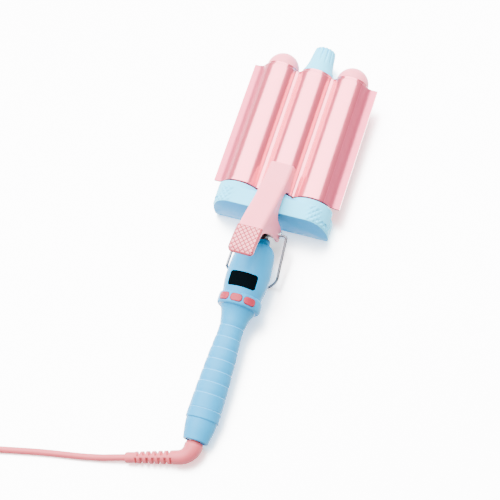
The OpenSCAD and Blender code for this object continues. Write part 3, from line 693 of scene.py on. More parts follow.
@dataclass
class Cord:
    """Strain relief, mains cord in its visible run and its coil, and the plug."""

    body: str = "cord_swivel"
    slot: str = "cord_rubber"
    diameter: float = 6.2
    relief_s: float = 223.3
    relief_straight: float = 3.0
    bend_r: float = 14.0
    bend: float = 75.0
    arm: float = 49.6
    drop: float = 5.0
    slots: int = 6
    slot_from: float = 27.0
    slot_to: float = 61.0
    slot_depth: float = 2.4
    slot_half: Flat = (0.24, 0.16)
    web_angles: Flat = (10.0, 17.0)
    coil_centre: Flat = (-228.0, -296.6)
    coil_inner_r: float = 33.0
    coil_turns: int = 2
    coil_layers: int = 4
    coil_pitch: float = 6.8
    coil_steps: int = 36
    run_out: float = 7.0
    plug_at: Flat = (-288.0, -338.0)
    plug_size: Point = (34.0, 38.0, 13.6)
    plug_sides: int = 56
    rib_depth: float = 0.45
    rib_pitch: float = 3.6
    ribs_y: Flat = (-30.0, -11.0)

    def build(self) -> None:
        """Builds and dresses every piece of the cord."""
        self.strain_relief()
        plug = self.plug()
        route = self.route()
        cord = Draft().sweep(route, lambda i, angle: self.diameter / 2, 14)
        cord = mount(
            cord.build("mains_cord", ROSE_VINYL), self.body, self.slot,
            "cord_lead", "cord_coil", "cord_tail",
        )
        length = sum(math.dist(a, b) for a, b in zip(route, route[1:]))
        log.info("mains cord is %.3f m long", length * MM)
        tuple(c * MM for c in route[0])
        [tuple(c * MM for c in p) for p in route]

    @property
    def bend_l(self) -> float:
        """Length of the strain relief's bend."""
        return self.bend_r * math.radians(self.bend)

    @property
    def relief_l(self) -> float:
        """Length of the strain relief along its middle line."""
        return self.relief_straight + self.bend_l + self.arm

    def relief_point(self, l: float) -> Point:
        """The middle line of the strain relief.

        Args:
            l: Distance from its start.

        Returns:
            The point there.
        """
        full, lean = math.radians(self.bend), math.radians(self.drop)
        gone = l - self.relief_straight
        turn = min(max(gone / self.bend_r, 0.0), full)
        past = max(gone - self.bend_l, 0.0)
        x = -self.bend_r * (1 - math.cos(turn)) - past * math.sin(full)
        s = self.bend_r * math.sin(turn) + past * math.cos(full) + min(gone, 0.0)
        s += self.relief_s + self.relief_straight
        return on_handle(x * math.cos(lean), x * math.sin(lean), s)

    def strain_relief(self) -> None:
        """A smooth elbow that runs into a slotted, tapered sleeve."""
        shape = smooth([
            (0, 7.5), (1.6, 8.2), (3, 8.7), (7, 8.4), (12, 7.6), (18, 6.9), (25, 6.5), (40, 6.1),
            (58, 5.6), (61.5, 5.5), (62.2, 5.1), (66, 5.0), (69.5, 5.0), (self.relief_l, 4.6),
        ], 4)
        even = {round(v, 2) for v in np.arange(0, self.relief_l, 0.5)}
        lengths = sorted(even | {self.relief_l})
        radii = read_off(shape, lengths)
        pitch = (self.slot_to - self.slot_from) / self.slots

        def radius(i: int, angle: float) -> float:
            """Radius of the sleeve, less inside its slots, which are staggered side by side.

            Args:
                i: Number of the ring of points.
                angle: Angle round the sleeve in degrees.

            Returns:
                The radius there.
            """
            l = lengths[i]
            if not self.slot_from <= l <= self.slot_to:
                return radii[i]
            side = int(angle % 360 >= 180)
            phase = ((l - self.slot_from) / pitch + 0.5 * side) % 1
            from_web = min(angle % 180, 180 - angle % 180)
            deep = ramp(abs(phase - 0.5), *self.slot_half) * ramp(from_web, *self.web_angles)
            return radii[i] - self.slot_depth * deep

        draft = Draft().sweep([self.relief_point(l) for l in lengths], radius, 48)
        piece = draft.build("strain_relief_boot", ROSE_VINYL)
        mount(piece, self.body, self.slot, "strain_relief")

    @property
    def coil_outer_r(self) -> float:
        """Radius of the coil's outermost turn."""
        return self.coil_inner_r + self.coil_turns * self.coil_pitch

    def coil_point(self, turn: float) -> Point:
        """The coil's middle line, which spirals in and out and climbs a layer at each end.

        Args:
            turn: Turns from the start.

        Returns:
            The point there.
        """
        w = turn % (2 * self.coil_turns)
        r = self.coil_outer_r - self.coil_pitch * min(w, 2 * self.coil_turns - w)
        k = math.floor(turn / self.coil_turns + 0.5)
        step = k - 1 + ramp(turn - k * self.coil_turns, -0.25, 0.25)
        z = self.diameter / 2 + self.coil_pitch * max(0.0, min(self.coil_layers - 1, step))
        a = math.radians(90 + 360 * turn)
        return (self.coil_centre[0] + r * math.cos(a), self.coil_centre[1] + r * math.sin(a), z)

    def route(self) -> list[Point]:
        """The whole cord, from the strain relief's end to the plug.

        Returns:
            The middle line's points.
        """
        r = self.diameter / 2
        end = np.array(self.relief_point(self.relief_l))
        ahead = end - np.array(self.relief_point(self.relief_l - 5))
        ahead /= np.linalg.norm(ahead)
        lead = smooth([
            (-80, -222.6, 4.6), (-100, -226.8, 3.4), (-135, -233, r), (-172, -241, r),
            (-200, -247.4, r),
        ], 4)
        x, y = self.coil_centre[0], self.coil_centre[1] + self.coil_outer_r
        high = r + (self.coil_layers - 1) * self.coil_pitch
        steps = self.coil_steps * self.coil_turns * self.coil_layers
        coil = [self.coil_point(i / self.coil_steps) for i in range(steps + 1)]
        tail = smooth([
            (-252, -253, 21), (-272, -262, 14.6), (-286, -279, 8), (-291, -299, 4.4),
            (-290, -317, 5),
        ], 4)
        px, py = self.plug_at
        pz = self.plug_size[2] / 2
        return [
            tuple(end), tuple(end + self.diameter * ahead), *lead,
            (x + 2 * self.run_out, y, r), (x + self.run_out, y, r), *coil,
            (x - self.run_out, y, high), (x - 2 * self.run_out, y, high), *tail,
            (px, py + 14, pz), (px, py + 6, pz),
        ]

    def plug(self) -> bpy.types.Object:
        """A moulded flat plug with grip ribs and its own short sleeve.

        Returns:
            The piece.
        """
        px, py = self.plug_at
        w, l, t = self.plug_size
        shape = smooth([
            (6.0, 4.2, 4.2), (5.6, 4.5, 4.5), (1.0, 5.2, 5.2), (-1.5, 6.2, 5.6), (-4.0, 9.5, 6.1),
            (-8.0, 13.4, 6.5), (-14.0, 16.4, 6.7), (-20.0, 16.9, 6.8), (-l + 3.0, 16.9, 6.8),
            (-l + 0.9, 16.7, 6.6), (-l, 15.6, 5.8),
        ], 6)
        rows = []
        back, front = self.ribs_y
        for y, a, b in shape:
            wave = math.sin(2 * math.pi * (y - front) / self.rib_pitch) if back < y < front else 0.0
            grip = self.rib_depth * max(0.0, wave)
            # The section turns from an ellipse at the sleeve to a rounded box at the body.
            power = 2 + 3.2 * ramp(y, -2, -12)
            row = []
            for k in range(self.plug_sides):
                turn = 2 * math.pi * k / self.plug_sides
                c, s = math.cos(turn), math.sin(turn)
                x = math.copysign(abs(c) ** (2 / power), c) * min(a, w / 2)
                z = math.copysign(abs(s) ** (2 / power), s) * (min(b, t / 2) - grip * abs(s) ** 3)
                row.append((px + x, py + y, t / 2 + z))
            rows.append(row)
        piece = Draft().grid(rows).build("mains_plug", ROSE_VINYL)
        return mount(piece, self.body, self.slot, "plug_body")


@dataclass
class Handle:
    """Grip shells, button collar, display window, tail and buttons."""

    body: str = "handle"
    slot: str = "handle_plastic"
    belly_r: float = 20.5
    waist_r: float = 11.6
    collar_r: float = 20.7
    under_collar_r: float = 16.8
    band_r: float = 15.5
    tail_r: float = 11.8
    tail_s: float = 222.3
    seam_depth: float = 0.16
    seam_angle: float = 0.9
    display_s: float = 70.6
    display_size: Flat = (26.4, 14.2)
    display_corner: float = 2.4
    display_sunk: float = 0.15
    display_gap: float = 0.15
    rings: int = 7
    ring_s0: float = 113.0
    ring_step: float = 11.0
    ring_w: float = 0.75
    ring_depth: float = 0.55
    ring_run: float = 4.5
    button_l: float = 7.0
    button_rise: float = 0.6
    button_corner: float = 3.1
    button_gap: float = 0.3
    buttons: tuple[tuple[str, float, float], ...] = (
        ("minus", 37.5, 11.8),
        ("power", 0.0, 11.2),
        ("plus", -37.5, 11.8),
    )

    def build(self) -> None:
        """Builds and dresses every piece of the handle."""
        self.shell()
        self.collar()
        self.tail()
        self.display()
        for name, angle, width in self.buttons:
            self.button(name, angle, width)

    @property
    def belly_line(self) -> list[Flat]:
        """Points of distance and radius over the belly, as far as the collar."""
        b = self.belly_r
        return [
            (44.2, b - 1.2), (56, b - 0.25), (64, b), (72, b - 0.4), (78, b - 1.3),
            (COLLAR_S0, b - 2.2),
        ]

    def ring_fall(self, s: float) -> float:
        """How the grip falls away to the foot of its next ring.

        Args:
            s: Distance along the handle.

        Returns:
            The depth below the plain skin there.
        """
        k = math.ceil((s - self.ring_s0) / self.ring_step - 0.01)
        if not 0 <= k < self.rings:
            return 0.0
        ahead = max(self.ring_s0 + k * self.ring_step - s, 0.0)
        return self.ring_depth * max(0.0, 1 - ahead / self.ring_run) ** 1.5

    def on_ring(self, face: bpy.types.MeshPolygon) -> int:
        """Tells the front edges of the grip's rings, which take painted highlight, from the rest of
        it.

        Args:
            face: A face of the grip.

        Returns:
            1 on a ring's front edge, else 0.
        """
        steps = (along_handle(face.center) - self.ring_s0) / self.ring_step
        off = (steps - round(steps)) * self.ring_step
        return int(0 <= round(steps) < self.rings and -0.1 < off < self.ring_w)

    def seam(self, _s: float, angle: float) -> float:
        """Depth of the parting line between the two shells."""
        off = min(abs(angle - 90), abs(angle - 270))
        return self.seam_depth * max(0.0, 1 - off / self.seam_angle)

    def shell(self) -> None:
        """The two grip shells, with a recess for the window."""
        w = self.waist_r
        front = smooth([
            (24.6, 9.6), (24.8, 10.0), (25.4, 10.2), (28.4, 10.4), (29.2, 11.6), (30, 12.9),
            (31, 14.2), (33, 16), (37, 17.8), *self.belly_line,
        ], 5)
        grip = smooth([
            (COLLAR_S1, 17), (97, 15.8), (100, 14.4), (106, w + 1.15), (115.4, w), (123, w + 0.4),
            (131.7, w + 1.05), (143.3, w + 1.9), (154.8, w + 2.4), (166.3, w + 3),
            (177.7, w + 3.45), (BAND_S0, w + 3.7),
        ], 12)
        fine = {round(float(s), 3) for s in np.arange(COLLAR_S1, BAND_S0, 1.2)} | {BAND_S0}
        for foot in (self.ring_s0 + k * self.ring_step for k in range(self.rings)):
            offsets = (-self.ring_run, -3, -1.5, -0.7, -0.1, 0, 0.4, self.ring_w)
            fine |= {round(foot + off, 3) for off in offsets}
        profile = [(24.6, 9.0), *front, (COLLAR_S0 + 0.1, self.under_collar_r)]
        profile += [(s, float(read_off(grip, s)) - self.ring_fall(s)) for s in sorted(fine)]
        angles = even_angles(120, self.seam_angle)
        draft = Draft().lathe(profile, on_handle, angles, dent=self.seam)
        piece = draft.build("grip_shells", BLUE_ABS, HIGHLIT_ABS)
        # The rings' front edges take the lighter blue as painted highlight.
        paint(piece, self.on_ring)
        line = rounded_box_line(*self.display_size, self.display_corner)
        low, high = 13.0, 26.0
        tool = Draft().grid([
            [on_handle(u, y, self.display_s + v) for u, v in line] for y in (low, high)
        ])
        carve(piece, tool.build("window_cutter", BLUE_ABS))
        mount(piece, self.body, self.slot, "handle_upper_shell", "handle_lower_shell")

    def display(self) -> None:
        """The window's black pane, a little below the shell, following its curve."""
        w, l = self.display_size
        belly = smooth(self.belly_line, 6)

        def outline(inset: float) -> list[Flat]:
            """The pane's outline drawn in."""
            gap = self.display_gap + inset
            return rounded_box_line(w - 2 * gap, l - 2 * gap, self.display_corner - 0.1)

        def place(u: float, v: float, height: float) -> Point:
            """A point on the pane.

            Args:
                u: Distance across.
                v: Distance along the handle from the window's middle.
                height: Height above the shell.

            Returns:
                The point.
            """
            s = self.display_s + v
            r = float(read_off(belly, s)) + height
            return on_handle(u, math.sqrt(r * r - u * u), s)

        top = -self.display_sunk
        rings = [(0.0, -1.6), (0.0, top - 0.3), (0.12, top - 0.07), (0.35, top)]
        rings += [(inset, top) for inset in (1.5, 3.0, 4.5, 5.8, 6.8)]
        piece = Draft().patch(outline, rings, place).build("display_pane", SMOKED_ACRYLIC)
        mount(piece, self.body, "display_lens", "display_lens")

    def collar(self) -> None:
        """The bulging ring round the buttons, with a slot for each."""
        r, s0, s1 = self.collar_r, COLLAR_S0, COLLAR_S1
        profile = smooth([
            (s0 + 0.1, r - 2.6), (s0 + 0.2, r - 1.7), (s0 + 1.2, r - 0.55), (s0 + 3.4, r - 0.05),
            (s0 + 6.1, r), (s1 - 3.4, r - 0.05), (s1 - 1.2, r - 0.55), (s1 - 0.2, r - 1.7),
            (s1, r - 2.8),
        ], 4)
        bore_r = self.under_collar_r + 0.02
        profile += [(s1, bore_r), (s0 + 0.1, bore_r)]
        draft = Draft().lathe(profile, on_handle, even_angles(120), ring=True)
        piece = draft.build("collar_ring", BLUE_ABS)
        low, high = 17.9 - r, 4.0
        for name, angle, width in self.buttons:
            line = self.button_line(width, -self.button_gap, self.button_corner)
            tool = Draft().grid([
                [self.on_collar(angle, u, v, y) for u, v in line] for y in (low, high)
            ])
            carve(piece, tool.build(name + "_cutter", BLUE_ABS))
        mount(piece, self.body, self.slot, "button_collar")

    def on_collar(self, angle: float, u: float, v: float, height: float) -> Point:
        """A point beside a button.

        Args:
            angle: The button's angle from the top in degrees.
            u: Distance across.
            v: Distance along the handle from the collar's middle.
            height: Height above the collar.

        Returns:
            The point.
        """
        c, d = math.cos(math.radians(angle)), math.sin(math.radians(angle))
        y = math.sqrt(self.collar_r**2 - u * u) + height
        return on_handle(u * c - y * d, u * d + y * c, (COLLAR_S0 + COLLAR_S1) / 2 + v)

    def button_line(self, width: float, inset: float, corner: float) -> list[Flat]:
        """A button's outline with well rounded corners, drawn in or, below zero, out."""
        return rounded_box_line(width - 2 * inset, self.button_l - 2 * inset, corner, 5)

    def button(self, name: str, angle: float, width: float) -> None:
        """A soft button, slightly domed.

        Args:
            name: The button's body.
            angle: Its angle from the top in degrees.
            width: Its width.
        """
        top = self.button_rise
        rings = [(0.0, -1.9), (0.0, top - 0.45), (0.12, top - 0.2), (0.4, top - 0.02)]
        rings += [(inset, top) for inset in (0.8, 1.6, 2.6, 3.2)]
        draft = Draft().patch(
            lambda inset: self.button_line(width, inset, self.button_corner - inset),
            rings, lambda u, v, height: self.on_collar(angle, u, v, height),
        )
        mount(draft.build(name + "_cap", CORAL_SILICONE), name, "coral_plastic", "button_" + name)

    def tail(self) -> None:
        """The band, with a painted highlight on its front edge, and the tapering tail."""
        b, t, s0, s1, end = self.band_r, self.tail_r, BAND_S0, BAND_S1, self.tail_s
        profile = [(s0, 4.7), (s0, b - 1.0)]
        profile += smooth([
            (s0 + 0.05, b - 0.7), (s0 + 0.7, b - 0.05), (s0 + 2, b), (s1 - 2, b),
            (s1 - 0.7, b - 0.05), (s1 - 0.05, b - 0.7),
        ], 4)
        profile += [(s1 + 0.02, b - 1.1)]
        profile += smooth([
            (s1 + 0.3, b - 0.95), (207, b - 1.25), (211.7, b - 1.8), (218, t + 0.7),
            (end - 1.2, t + 0.15), (end - 0.3, t - 0.15), (end, t - 0.8),
        ], 4)
        profile += [(end, 9.6), (end - 1.0, 9.4), (end - 1.0, 4.7)]
        draft = Draft().lathe(profile, on_handle, even_angles(96), ring=True)
        piece = draft.build("tail_sleeve", BLUE_ABS, HIGHLIT_ABS)
        # The band's front edge takes the lighter blue as painted highlight.
        paint(piece, lambda face: int(0 < along_handle(face.center) - s0 < 0.9))
        mount(piece, self.body, self.slot, "tail_cap")


@dataclass
class Barrels:
    """Domed caps and the fluted cool tip."""

    body: str = "handle"
    tip_l: float = 29.5
    flutes: int = 14
    flute_depth: float = 1.7
    flute_from: float = 9.0
    flute_full: float = 26.0

    def build(self) -> None:
        """Builds and dresses the barrels' ends."""
        for side, name in ((-1, "left"), (1, "right")):
            self.cap(side, name)
        self.cool_tip()

    def cap(self, side: int, name: str) -> None:
        """A domed cap with a hairline gap where it meets its tube.

        Args:
            side: -1 for left, 1 for right.
            name: The side's name.
        """
        gap_s, gap_r = CAP_Y + 0.05, BARREL_R - 0.3
        profile = [(CAP_Y - 3, SOCKET_R), (gap_s, SOCKET_R), (gap_s, gap_r), (CAP_Y + 0.3, BARREL_R)]
        profile += [(CAP_Y + s, r) for r, s in arc((0, 0), BARREL_R, 3, 89.2, 24)]
        draft = Draft().lathe(
            profile, lambda x, y, s: on_barrel(side * BARREL_PITCH + x, y, s), even_angles(72)
        )
        piece = draft.build("dome_" + name, PINK_NYLON)
        mount(piece, self.body, "pink_plastic", "barrel_cap_" + name)

    def cool_tip(self) -> None:
        """The tapered grip at the middle barrel's end, with flutes that deepen to its tip."""
        l, r = self.tip_l, BARREL_R
        outer = smooth([
            (0, r - 0.3), (2, r - 0.5), (5, r - 1.6), (9, r - 2.9), (14, r - 3.9), (19, r - 4.7),
            (24, r - 5.3), (l - 1.5, r - 6), (l - 0.4, r - 7), (l, r - 8.5),
        ], 5)
        profile = [(-2, SOCKET_R), (0, SOCKET_R), *outer, (l, 4.0)]

        def flute(s: float, angle: float) -> float:
            """Depth of the flutes.

            Args:
                s: Distance along the barrel.
                angle: Angle round it in degrees.

            Returns:
                The depth there.
            """
            grow = ramp(s - CAP_Y, self.flute_from, self.flute_full)
            fade = 1.0 if s < CAP_Y + l - 0.01 else 0.75
            wave = max(0.0, math.cos(math.radians(angle * self.flutes))) ** 1.5
            return self.flute_depth * grow * fade * wave

        draft = Draft().lathe(
            [(CAP_Y + s, q) for s, q in profile], on_barrel, even_angles(self.flutes * 16),
            dent=flute,
        )
        piece = draft.build("cool_tip_grip", PALE_PBT, angle=50)
        mount(piece, self.body, "guard_plastic", "cool_tip")


@dataclass
class Guard:
    """The heat guard with its three collars and the raised lozenges at its ends."""

    body: str = "handle"
    width: float = 114.0
    height: float = 42.0
    depth: float = 16.5
    shoulder_w: float = 19.0
    shoulder_drop: float = 33.0
    low_r: float = 5.0
    collar_l: float = 5.7
    collar_r: float = 1.6
    edge_r: float = 0.5
    lozenge: float = 5.6
    lozenge_rise: float = 1.5
    lozenges_from: float = 35.0
    lozenges_to: float = 75.0

    def build(self) -> None:
        """Builds and dresses the guard."""
        draft = Draft().grid(self.skin())
        for side in (-1, 0, 1):
            self.barrel_collar(draft, side)
        piece = draft.build("heat_guard", PALE_PBT, SHADED_BACK_PBT, angle=50)
        # The guard's flat back faces take the deeper blue as painted shade.
        back_y = (GUARD_Y + self.edge_r) * MM
        paint(piece, lambda face: int(face.normal.y < -0.9 and face.center.y < back_y))
        mount(piece, self.body, "guard_plastic", "heat_guard_upper", "heat_guard_lower")

    def barrel_collar(self, draft: Draft, side: int) -> None:
        """The round collar in front of the body that a barrel comes out of.

        Args:
            draft: The mesh that gets it.
            side: -1, 0 or 1 from left to right.
        """
        root, front = GUARD_Y + 6, GUARD_Y + self.depth + self.collar_l
        r, soft = self.height / 2, self.collar_r
        profile = [(root, BARREL_R + 0.1), (root, r - 0.05)]
        profile += [(front - soft + s, r - soft + q) for q, s in arc((0, 0), soft, 0, 90, 6)]
        profile += [(front - 0.4, BARREL_R + 0.15)]

        def place(x: float, y: float, s: float) -> Point:
            """A point beside this collar's barrel, kept above the table."""
            return on_barrel(side * BARREL_PITCH + x, max(y, 0.02 - BARREL_Z), s)

        draft.lathe(profile, place, even_angles(90), ring=True)

    def outline(self, inset: float) -> list[tuple[float, float, float]]:
        """The guard's end view, drawn in.

        Args:
            inset: Distance drawn in.

        Returns:
            Points of x, z and the distance along the full outline from its top middle.
        """
        w, h = self.width / 2, self.height / 2
        start, drop = w - self.shoulder_w, h - self.shoulder_drop
        wide, tall = self.shoulder_w - inset, self.shoulder_drop - inset
        right: list[Flat] = [(x, h - inset) for x in np.linspace(0, start, 80)[:-1]]
        right += [
            (start + wide * math.sin(a), drop + tall * math.cos(a))
            for a in np.radians(np.linspace(0, 90, 110))
        ]
        low = arc((w - self.low_r, self.low_r - h), self.low_r - inset, 0, -90, 14)
        right += [(w - inset, z) for z in np.linspace(drop, low[0][1], 8)[1:-1]] + low
        right += [(x, inset - h) for x in np.linspace(w - self.low_r, 0, 30)[1:]]
        steps = [0.0]
        for a, b in zip(right, right[1:]):
            steps.append(steps[-1] + math.dist(a, b))
        return mirrored([(x, z, d) for (x, z), d in zip(right, steps)])

    def lozenges(self, along: float, deep: float) -> float:
        """Height of the raised lozenges on the guard's shoulders.

        Args:
            along: Distance along the outline from the top middle.
            deep: Distance from the guard's back face.

        Returns:
            The height above the plain skin.
        """
        near, far, back, front = self.lozenges_from, self.lozenges_to, 0.9, self.depth - 0.3
        fade = ramp(along, near, near + 5) * ramp(along, far, far - 4)
        fade *= ramp(deep, back, back + 0.5) * ramp(deep, front, front - 0.5)
        slants = ((along + deep) / self.lozenge, (along - deep) / self.lozenge)
        u, v = (2 * (t - math.floor(t)) - 1 for t in slants)
        pillow = (1 - u * u) * (1 - v * v)
        return self.lozenge_rise * fade * pillow * (0.8 - 0.2 * u)

    def skin(self) -> list[list[Point]]:
        """Rings of the guard's body from its back face to its front.

        Returns:
            The rings.
        """
        turn = [1 - math.cos(a) for a in np.radians(np.linspace(0, 90, 4))]
        rim = [(self.edge_r * t, self.edge_r * q) for t, q in zip(turn, reversed(turn))]
        middle = np.arange(self.edge_r + 0.3, self.depth - 0.8, 0.35)
        stations = rim + [(float(y), 0.0) for y in middle]
        stations += [(self.depth - deep, inset) for deep, inset in reversed(rim)]
        rings = []
        for deep, inset in stations:
            ring = []
            for (x, z, d), (fx, fz, _) in zip(self.outline(inset), self.outline(inset - 1.0)):
                nx, nz = fx - x, fz - z
                rise = self.lozenges(d, deep) / (math.hypot(nx, nz) or 1.0)
                ring.append((x + rise * nx, GUARD_Y + deep, BARREL_Z + z + rise * nz))
            rings.append(ring)
        return rings


@dataclass
class Clamp:
    """Corrugated plate, lever and thumb pad."""

    body: str = "clamp"
    plate_y: Flat = (59.0, 188.5)
    plate_w: float = 125.0
    plate_edge: float = 0.45
    in_r: float = 16.9
    out_r: float = 18.6
    valley_r: float = 3.6
    flare_r: float = 8.0
    flare_z: float = 4.5
    painted_shade_band: Flat = (47.8, 61.4)
    half_w: float = 11.6
    wall: float = 2.4
    roof: float = 3.2
    hollow_y: Flat = (-40.0, 20.0)
    draft_slope: float = 0.098
    draft_below: float = 3.0
    saddle_slope: float = 0.13
    saddle_y: Flat = (14.0, 26.0)
    saddle_foot: float = 33.6
    straight_y: Flat = (27.0, 50.0)
    pivot: Flat = (-15.0, 26.5)
    pivot_r: float = 7.0
    edge_r: float = 3.4
    tip_r: float = 3.6
    tip_y: float = -62.0
    pad_y: Flat = (-60.2, -33.0)
    pad_skin: float = 0.15
    bed_rise: float = 0.22
    lozenge_pitch: Flat = (4.7, 5.4)
    lozenge_rise: float = 0.62
    groove_w: float = 1.0

    def build(self) -> None:
        """Builds and dresses the clamp."""
        self.plate()
        self.lever()
        self.pad()

    def plate_line(self, upper: bool, inset: float) -> list[Flat]:
        """Half of the plate's section, from the middle to the rim.

        Args:
            upper: Whether it is the upper face.
            inset: Distance drawn into the sheet.

        Returns:
            Points of x and height above the barrels' axes.
        """
        # How far this face lies below the sheet's upper one.
        below = inset if upper else self.out_r - self.in_r - inset
        cover, dip, sweep = self.out_r - below, self.valley_r + below, self.flare_r + below
        valley_x = BARREL_PITCH / 2
        valley_z = math.sqrt((self.out_r + self.valley_r) ** 2 - valley_x**2)
        lean = math.degrees(math.atan2(valley_x, valley_z))
        reach, bend_z = self.out_r + self.flare_r, self.flare_z + self.flare_r
        flare = math.degrees(math.acos(bend_z / reach))
        bend_x = BARREL_PITCH + reach * math.sin(math.radians(flare))
        rim_x, rim_z = self.plate_w / 2 - inset, self.flare_z - below
        return [
            *arc((0, 0), cover, 90, 90 - lean, 24),
            *arc((valley_x, valley_z), dip, 270 - lean, 270 + lean, 20)[1:],
            *arc((BARREL_PITCH, 0), cover, 90 + lean, 90 - flare, 44)[1:],
            *arc((bend_x, bend_z), sweep, 270 - flare, 270, 14)[1:],
            (rim_x - 0.5, rim_z), (rim_x, rim_z),
        ]

    def plate(self) -> None:
        """The pressed sheet, with its cut edges softened."""
        y0, y1 = self.plate_y
        # A quarter round at each end, as distance from the end and distance drawn in.
        r = self.plate_edge
        edge = [(off, inset) for inset, off in arc((r, r), r, 270, 180, 4)]
        stations = [(y0 + off, inset) for off, inset in edge]
        stations += [(y, 0.0) for y in np.linspace(y0 + 3, y1 - 3, 24)]
        stations += [(y1 - off, inset) for off, inset in reversed(edge)]
        rings = []
        for y, inset in stations:
            half = self.plate_line(True, inset) + self.plate_line(False, inset)[::-1]
            rings.append([(x, y, BARREL_Z + z) for x, z in mirrored(half)])
        draft = Draft().grid(rings)
        piece = draft.build("corrugated_plate", COATED_ALUMINIUM, SHADED_FLARE_COAT, PAINTED_GAP_SHADOW)

        def zone(face: bpy.types.MeshPolygon) -> int:
            """Tells the sheet, its flares with painted shade and its cut ends with painted shadow
            apart.

            Args:
                face: A face of the plate.

            Returns:
                0 on the sheet, 1 on its flares (painted shade), 2 on its cut ends (painted shadow).
            """
            x, y = abs(face.center.x) / MM, face.center.y / MM
            # The cut ends take the dark maroon as painted shadow.
            if min(y - y0, y1 - y) < 0.2:
                return 2
            # The flares take the deeper pink as painted shade.
            return int(self.painted_shade_band[0] < x < self.painted_shade_band[1])

        paint(piece, zone)
        mount(piece, self.body, "coated_aluminium", "clamp_plate")

    @property
    def top_line(self) -> list[Flat]:
        """The lever's top edge as distances from the guard's back face and heights."""
        return smooth([
            (-62, 82.6), (-61.3, 84.2), (-59.6, 85.4), (-58, 85.8), (-45.6, 83.4), (-31, 78.8),
            (-20, 73.3), (-8.8, 67), (2, 61), (12.4, 56), (28, 49.4), (42, 44.8), (50, 43),
        ], 6)

    @property
    def foot_line(self) -> list[Flat]:
        """The lever's lower outline from its tip round the pivot to the saddle.

        Returns:
            Points of distance from the guard's back face and height.
        """
        back = smooth([
            (-62, 82.2), (-60.8, 81.2), (-58, 80.9), (-52, 80.2), (-45, 78.6), (-39, 76),
            (-35, 72.4), (-32, 67), (-28.6, 59), (-25.2, 49), (-22.9, 38), (-21.9, 31),
        ], 5)
        boss = arc(self.pivot, self.pivot_r, 178, 362, 23)
        front = smooth([
            (-7.9, 30), (-7.6, 36), (-6.4, 41.5), (-3, 45.4), (2, 46.6), (10, 46.2), (17, 45),
            (21.5, 42), (24, 37), (25.4, 34.2), *((y, self.saddle_foot) for y in self.straight_y),
        ], 5)
        return back + boss + front

    def half_width(self, y: float, z: float, top: float) -> float:
        """Half of the lever's width at a height below its top edge.

        Args:
            y: Distance from the guard's back face.
            z: Height.
            top: Height of the top edge there.

        Returns:
            The half width.
        """
        wide = self.half_w
        near = y - self.tip_y - self.tip_r
        if near < 0:
            wide -= self.tip_r - math.sqrt(max(self.tip_r**2 - near**2, 0.0))
        slope = self.draft_slope + self.saddle_slope * ramp(y, *self.saddle_y)
        return wide + slope * max(top - self.draft_below - z, 0.0)

    def section(self, y: float, foot: float, top: float) -> list[Point]:
        """One ring of the lever.

        Args:
            y: Distance from the guard's back face.
            foot: Height of the lower edge there.
            top: Height of the top edge there.

        Returns:
            The ring's points.
        """
        foot = min(foot, top - 0.4)
        tall = top - foot
        r = min(self.edge_r, tall * 0.45)
        crown = self.half_width(y, top, top) - r
        right: list[Flat] = [(x, top) for x in np.linspace(0, crown, 5)[:-1]]
        right += arc((crown, top - r), r, 90, 8, 6)
        for t in (0.15, 0.4, 0.7, 0.93, 1.0):
            z = top - r - (tall - r) * t
            right.append((self.half_width(y, z, top) - (0.5 if t == 1.0 else 0.0), z))
        edge_x = right[-1][0]
        if y > self.saddle_y[1]:
            bed_r, xs = self.out_r - 0.15, np.linspace(edge_x - 0.4, 0, 6)
            inner = [(x, BARREL_Z + math.sqrt(bed_r**2 - x * x)) for x in xs]
        else:
            back, front = self.hollow_y
            hollow = ramp(tall, 4.5, 5.5) if back <= y <= front else 0.0
            high = foot + hollow * (top - self.roof - foot)
            low_x, wall_x = edge_x - self.wall * 0.8, self.half_width(y, high, top) - self.wall
            inner = [(low_x, foot), ((low_x + wall_x) / 2, (foot + high) / 2)]
            inner += [(wall_x * share, high) for share in (1.0, 0.6, 0.3, 0.0)]
        return [(x, GUARD_Y + y, z) for x, z in mirrored(right + inner)]

    def lever(self) -> None:
        """The drafted lever: tip, cheeks round the neck, and the saddle on the plate."""
        top, foot = self.top_line, self.saddle_foot
        start, end = self.straight_y
        places = sorted({round(y, 3): z for y, z in self.foot_line}.items())
        places = [(y, z) for y, z in places if y <= start]
        places += [(y, foot) for y in np.arange(start, end, 2.0)] + [(end - 0.4, foot)]
        rings = [self.section(y, z, float(read_off(top, y))) for y, z in places]
        rings.append(self.section(end, foot + 0.2, float(read_off(top, end)) - 0.5))
        piece = Draft().grid(rings).build("clamp_lever_arm", PINK_NYLON, angle=40)
        mount(piece, self.body, "pink_plastic", "clamp_lever")

    def pad_line(self, inset: float) -> list[Flat]:
        """The pad's outline from above, square at the front and round at the tip.

        Args:
            inset: Distance drawn in.

        Returns:
            The closed outline's points.
        """
        w, r = self.half_w + 0.12 - inset, max(self.tip_r - inset, 0.05)
        y0, y1 = self.tip_y - self.pad_skin + inset, self.pad_y[1] - inset
        chamfer_x, chamfer_y = w - r * 0.1, y1 - 0.4
        return mirrored([
            *((x, y1) for x in np.linspace(0, chamfer_x, 8)),
            *((w, y) for y in np.linspace(chamfer_y, y0 + r, 16)[:-1]),
            *arc((w - r, y0 + r), r, 0, -90, 8),
            *((x, y0) for x in np.linspace(w - r, 0, 8)[1:]),
        ])

